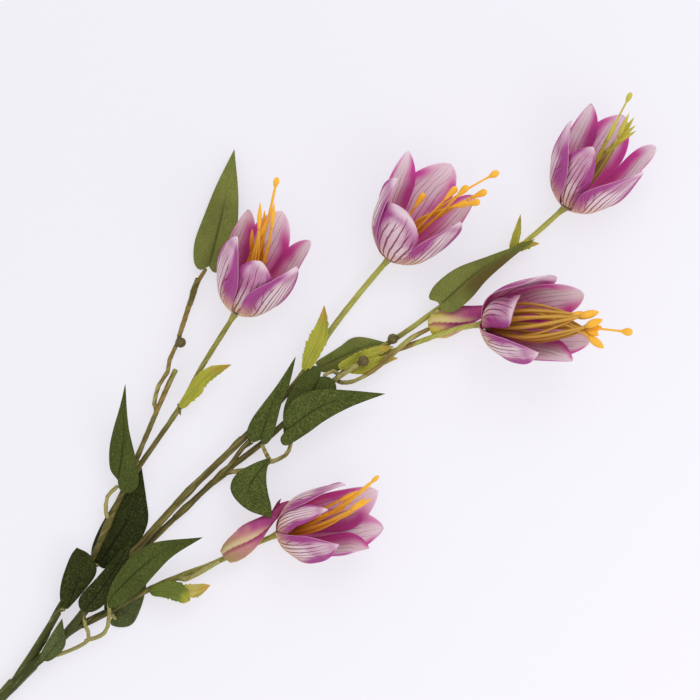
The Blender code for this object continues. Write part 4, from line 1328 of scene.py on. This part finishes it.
def leaf_material(name, settings, blade, lined, browned=0.0):
    """Coated cloth with painted shade darkening the midrib's groove. `lined` is how plain the light veins
    are, and the last argument how plain the brown half with its painted shade is, both as shares."""
    material, w, shader = new_material(name, roughness=0.6, specular=0.1)
    across, along = w.uv()
    place = w.place()
    veins = use_group(w, "leaf_veins", {"Across": across, "Along": along, "Place": place})
    grain = use_group(w, "cloth_grain", {"Place": place, "Size": 0.85})
    dark = shaded(blade, 0.5)
    colour = w.mix(w.band(grain["Cloud"], 0.35, 0.65, 0.4, 0.0), blade, dark)
    colour = w.mix(w.both(veins["Net"], lined), colour, settings.net)
    colour = w.mix(w.both(veins["Veins"], lined), colour, settings.net)
    colour = w.mix(w.band(grain["Grain"], 0.48, 0.66, 0.0, 0.65), colour, dark)
    colour = w.mix(w.band(grain["Grain"], 0.47, 0.35, 0.0, 0.2), colour, settings.net)
    # a brown half across the leaf: partly its own brown, partly painted shade on that half
    if browned:
        half = w.both(w.band(across, -0.15, 0.4), w.band(along, 0.2, 0.45), w.band(along, 0.95, 0.7))
        colour = w.mix(w.calc("MULTIPLY", half, browned), colour, settings.brown)
    # a darker line down the middle: painted shade in the midrib's groove
    middle = w.band(w.calc("ABSOLUTE", across), 0.11, 0.03, 0.0, 0.8 - lined)
    colour = w.mix(w.both(middle, w.band(along, 0.8, 0.5)), colour, shaded(blade, 0.35))
    w.plug(shader.inputs["Base Color"], colour)
    w.plug(shader.inputs["Roughness"], w.band(grain["Grain"], 0.3, 0.7, 0.5, 0.7))
    height = w.calc("MULTIPLY_ADD", veins["Veins"], -1.2, grain["Grain"])
    height = w.calc("MULTIPLY_ADD", veins["Net"], -0.5, height)
    bump(w, shader, height, strength=0.35, distance=0.2)
    return material


class FRITILLARY_OT_leaves(bpy.types.Operator):
    """Makes the heart-based leaves"""

    bl_idname = "fritillary.leaves"
    bl_label = "Leaves"

    def execute(self, context):
        settings = context.scene.fritillary_leaves
        make_groups()
        looks = {
            "green": (settings.blade, 0.06),
            "olive": (settings.olive, 0.03),
            # the shaded look paints the shade on the lowest leaves with a blackish blade
            "shaded": (settings.painted_shade_blade, 0.03),
            "dusty": (settings.dusty, 0.16),
            "browned": (settings.olive, 0.03, 0.75),
            "netted": (settings.blade, 0.18),
        }
        cloths = {kind: leaf_material(f"leaf_{kind}", settings, *look) for kind, look in looks.items()}
        for name, shape in LEAVES.items():
            kind = LEAF_KINDS.get(name, "green")
            place = blade_place(*shape, LEAF_GRID[1], settings.groove, settings.wave)
            piece = add_piece(f"{name}_blade", sheet_bmesh(place, *LEAF_GRID), [cloths[kind]], [name])
            thicken(piece, settings.thickness, offset=0)
        return {"FINISHED"}


def bract_material(name, settings, blade, tip):
    """Thin cloth with darker streaks along it and a tip of another colour."""
    material, w, shader = new_material(name, roughness=0.55, specular=0.25)
    let_light_through(shader, 0.35, (1.0, 1.0, 0.4), 1.0)
    across, along = w.uv()
    place = w.place()
    grain = use_group(w, "cloth_grain", {"Place": place, "Size": 0.6})
    side = w.calc("ABSOLUTE", across)
    streak = w.streaks(across, along, 7.0, 2.0)
    colour = w.mix(w.band(streak, 0.45, 0.62, 0.0, 0.75), blade, settings.edge)
    colour = w.mix(w.band(side, 0.1, 0.0, 0.0, 0.6), colour, settings.edge)
    cloud = w.calc("MULTIPLY_ADD", w.calc("SUBTRACT", grain["Cloud"], 0.5), 0.5, along)
    colour = w.mix(w.band(cloud, 0.72, 0.95, 0.0, 0.8), colour, tip)
    w.plug(shader.inputs["Base Color"], colour)
    bump(w, shader, w.calc("ADD", streak, grain["Grain"]), strength=0.3, distance=0.2)
    return material


class FRITILLARY_OT_bracts(bpy.types.Operator):
    """Makes the small frayed bracts"""

    bl_idname = "fritillary.bracts"
    bl_label = "Bracts"

    def execute(self, context):
        settings = context.scene.fritillary_bracts
        make_groups()
        lime = bract_material("bract_lime", settings, settings.blade, settings.tip)
        green = bract_material("bract_green", settings, settings.green, settings.blade)
        pale = bract_material("bract_pale", settings, settings.pale, settings.tip)
        for name, blades in BRACTS.items():
            kinds = (green, pale) if name == "bract_5" else (lime, lime)
            for index, (shape, material) in enumerate(zip(blades, kinds)):
                place = blade_place(*shape, BRACT_GRID[1], settings.groove, settings.wave, settings.teeth)
                bm = sheet_bmesh(place, *BRACT_GRID)
                nodes = [name] if index == 0 else []
                piece = add_piece(f"{name}_blade_{index + 1}", bm, [material], nodes)
                thicken(piece, settings.thickness, offset=0)
        return {"FINISHED"}


# ---- stage -------------------------------------------------------------------------------------------
def add_lamp(name, place, aim, power, size):
    """A square lamp that points at its aim. Places and its side are in metres."""
    lamp = bpy.data.lights.new(name, "AREA")
    lamp.energy = power
    lamp.size = size
    obj = bpy.data.objects.new(name, lamp)
    obj.location = place
    obj.rotation_mode = "QUATERNION"
    obj.rotation_quaternion = (Vector(aim) - Vector(place)).to_track_quat("-Z", "Y")
    bpy.context.scene.collection.objects.link(obj)


class FRITILLARY_OT_stage(bpy.types.Operator):
    """Sets the floor, the lights and the camera that looks straight down"""

    bl_idname = "fritillary.stage"
    bl_label = "Stage"

    def execute(self, context):
        settings = context.scene.fritillary_stage
        bm = bmesh.new()
        bmesh.ops.create_grid(bm, x_segments=1, y_segments=1, size=FLOOR_SIZE)
        bmesh.ops.translate(bm, verts=bm.verts, vec=(0, 0, -FLOOR_DROP * MM))
        mesh = bpy.data.meshes.new("floor")
        bm.to_mesh(mesh)
        bm.free()
        material, w, shader = new_material("floor_paper", roughness=0.9, specular=0.1)
        paper = w.noise(w.place(), 900.0, 2.0)
        matt, fleck = shaded(settings.floor, FLOOR_SHADE), shaded(settings.floor, FLOOR_FLECK)
        w.plug(shader.inputs["Base Color"], w.mix(w.band(paper, 0.3, 0.7, 0.0, 0.04), matt, fleck))
        # painted light: the floor glows, brighter towards one corner, which also thins the shadows cast
        # on it
        slant = PLAN_TURN @ Vector((1, -1, 0)).normalized()
        down = w.make("ShaderNodeVectorMath", {0: w.place(), 1: slant}, out=1, operation="DOT_PRODUCT")
        middle = in_frame(PLAN_MIDDLE)
        near = w.band(down, *(middle.dot(slant) + end for end in GLOW_SPAN))
        far = shaded(settings.floor, FLOOR_FAR)
        w.plug(shader.inputs["Emission Color"], w.mix(near, far, tuple(settings.floor)))
        shader.inputs["Emission Strength"].default_value = settings.floor_glow
        mesh.materials.append(material)
        floor = bpy.data.objects.new("floor", mesh)
        context.scene.collection.objects.link(floor)

        world = bpy.data.worlds.new("soft_room")
        world.use_nodes = True
        sky = world.node_tree.nodes["Background"]
        sky.inputs["Color"].default_value = (1.0, 1.0, 1.0, 1)
        sky.inputs["Strength"].default_value = settings.sky
        context.scene.world = world

        right = PLAN_TURN @ Vector((1, 0, 0))
        ahead = PLAN_TURN @ Vector((0, 1, 0))
        for name, (forward, sideways, high, size) in LAMPS.items():
            place = middle + ahead * forward + right * sideways + UP * high
            add_lamp(name, place, middle, getattr(settings, name), size)

        camera = bpy.data.cameras.new("camera")
        camera.lens = settings.lens
        camera.sensor_width = 36.0
        height = PLAN_SIDE * MM * settings.lens / camera.sensor_width
        camera.clip_start, camera.clip_end = height * 0.5, height * 2
        eye = bpy.data.objects.new("camera", camera)
        eye.matrix_world = Matrix.Translation(middle + UP * height) @ PLAN_TURN.to_4x4()
        context.scene.collection.objects.link(eye)
        context.scene.camera = eye
        context.scene.view_settings.view_transform = "Standard"
        return {"FINISHED"}


# ---- add-on ------------------------------------------------------------------------------------------
SETTINGS = {
    "fritillary_petals": PetalSettings,
    "fritillary_stamens": StamenSettings,
    "fritillary_buds": BudSettings,
    "fritillary_stems": StemSettings,
    "fritillary_leaves": LeafSettings,
    "fritillary_bracts": BractSettings,
    "fritillary_stage": StageSettings,
}
OPERATORS = (
    FRITILLARY_OT_petals,
    FRITILLARY_OT_stamens,
    FRITILLARY_OT_buds,
    FRITILLARY_OT_stems,
    FRITILLARY_OT_leaves,
    FRITILLARY_OT_bracts,
    FRITILLARY_OT_stage,
)


class FRITILLARY_PT_panel(bpy.types.Panel):
    """Lists the spray's operators and their settings"""

    bl_idname = "FRITILLARY_PT_panel"
    bl_label = "Fritillary Spray"
    bl_space_type = "VIEW_3D"
    bl_region_type = "UI"
    bl_category = "Fritillary"

    def draw(self, context):
        for name, operator in zip(SETTINGS, OPERATORS):
            box = self.layout.box()
            box.operator(operator.bl_idname)
            for key in SETTINGS[name].__annotations__:
                box.prop(getattr(context.scene, name), key)


def register():
    for name, settings in SETTINGS.items():
        bpy.utils.register_class(settings)
        setattr(bpy.types.Scene, name, PointerProperty(type=settings))
    for made in (*OPERATORS, FRITILLARY_PT_panel):
        bpy.utils.register_class(made)


def unregister():
    for made in (FRITILLARY_PT_panel, *reversed(OPERATORS)):
        bpy.utils.unregister_class(made)
    for name, settings in reversed(SETTINGS.items()):
        delattr(bpy.types.Scene, name)
        bpy.utils.unregister_class(settings)


def main():
    register()
    for operator in OPERATORS:
        space, verb = operator.bl_idname.split(".")
        getattr(getattr(bpy.ops, space), verb)()


if __name__ == "__main__":
    main()
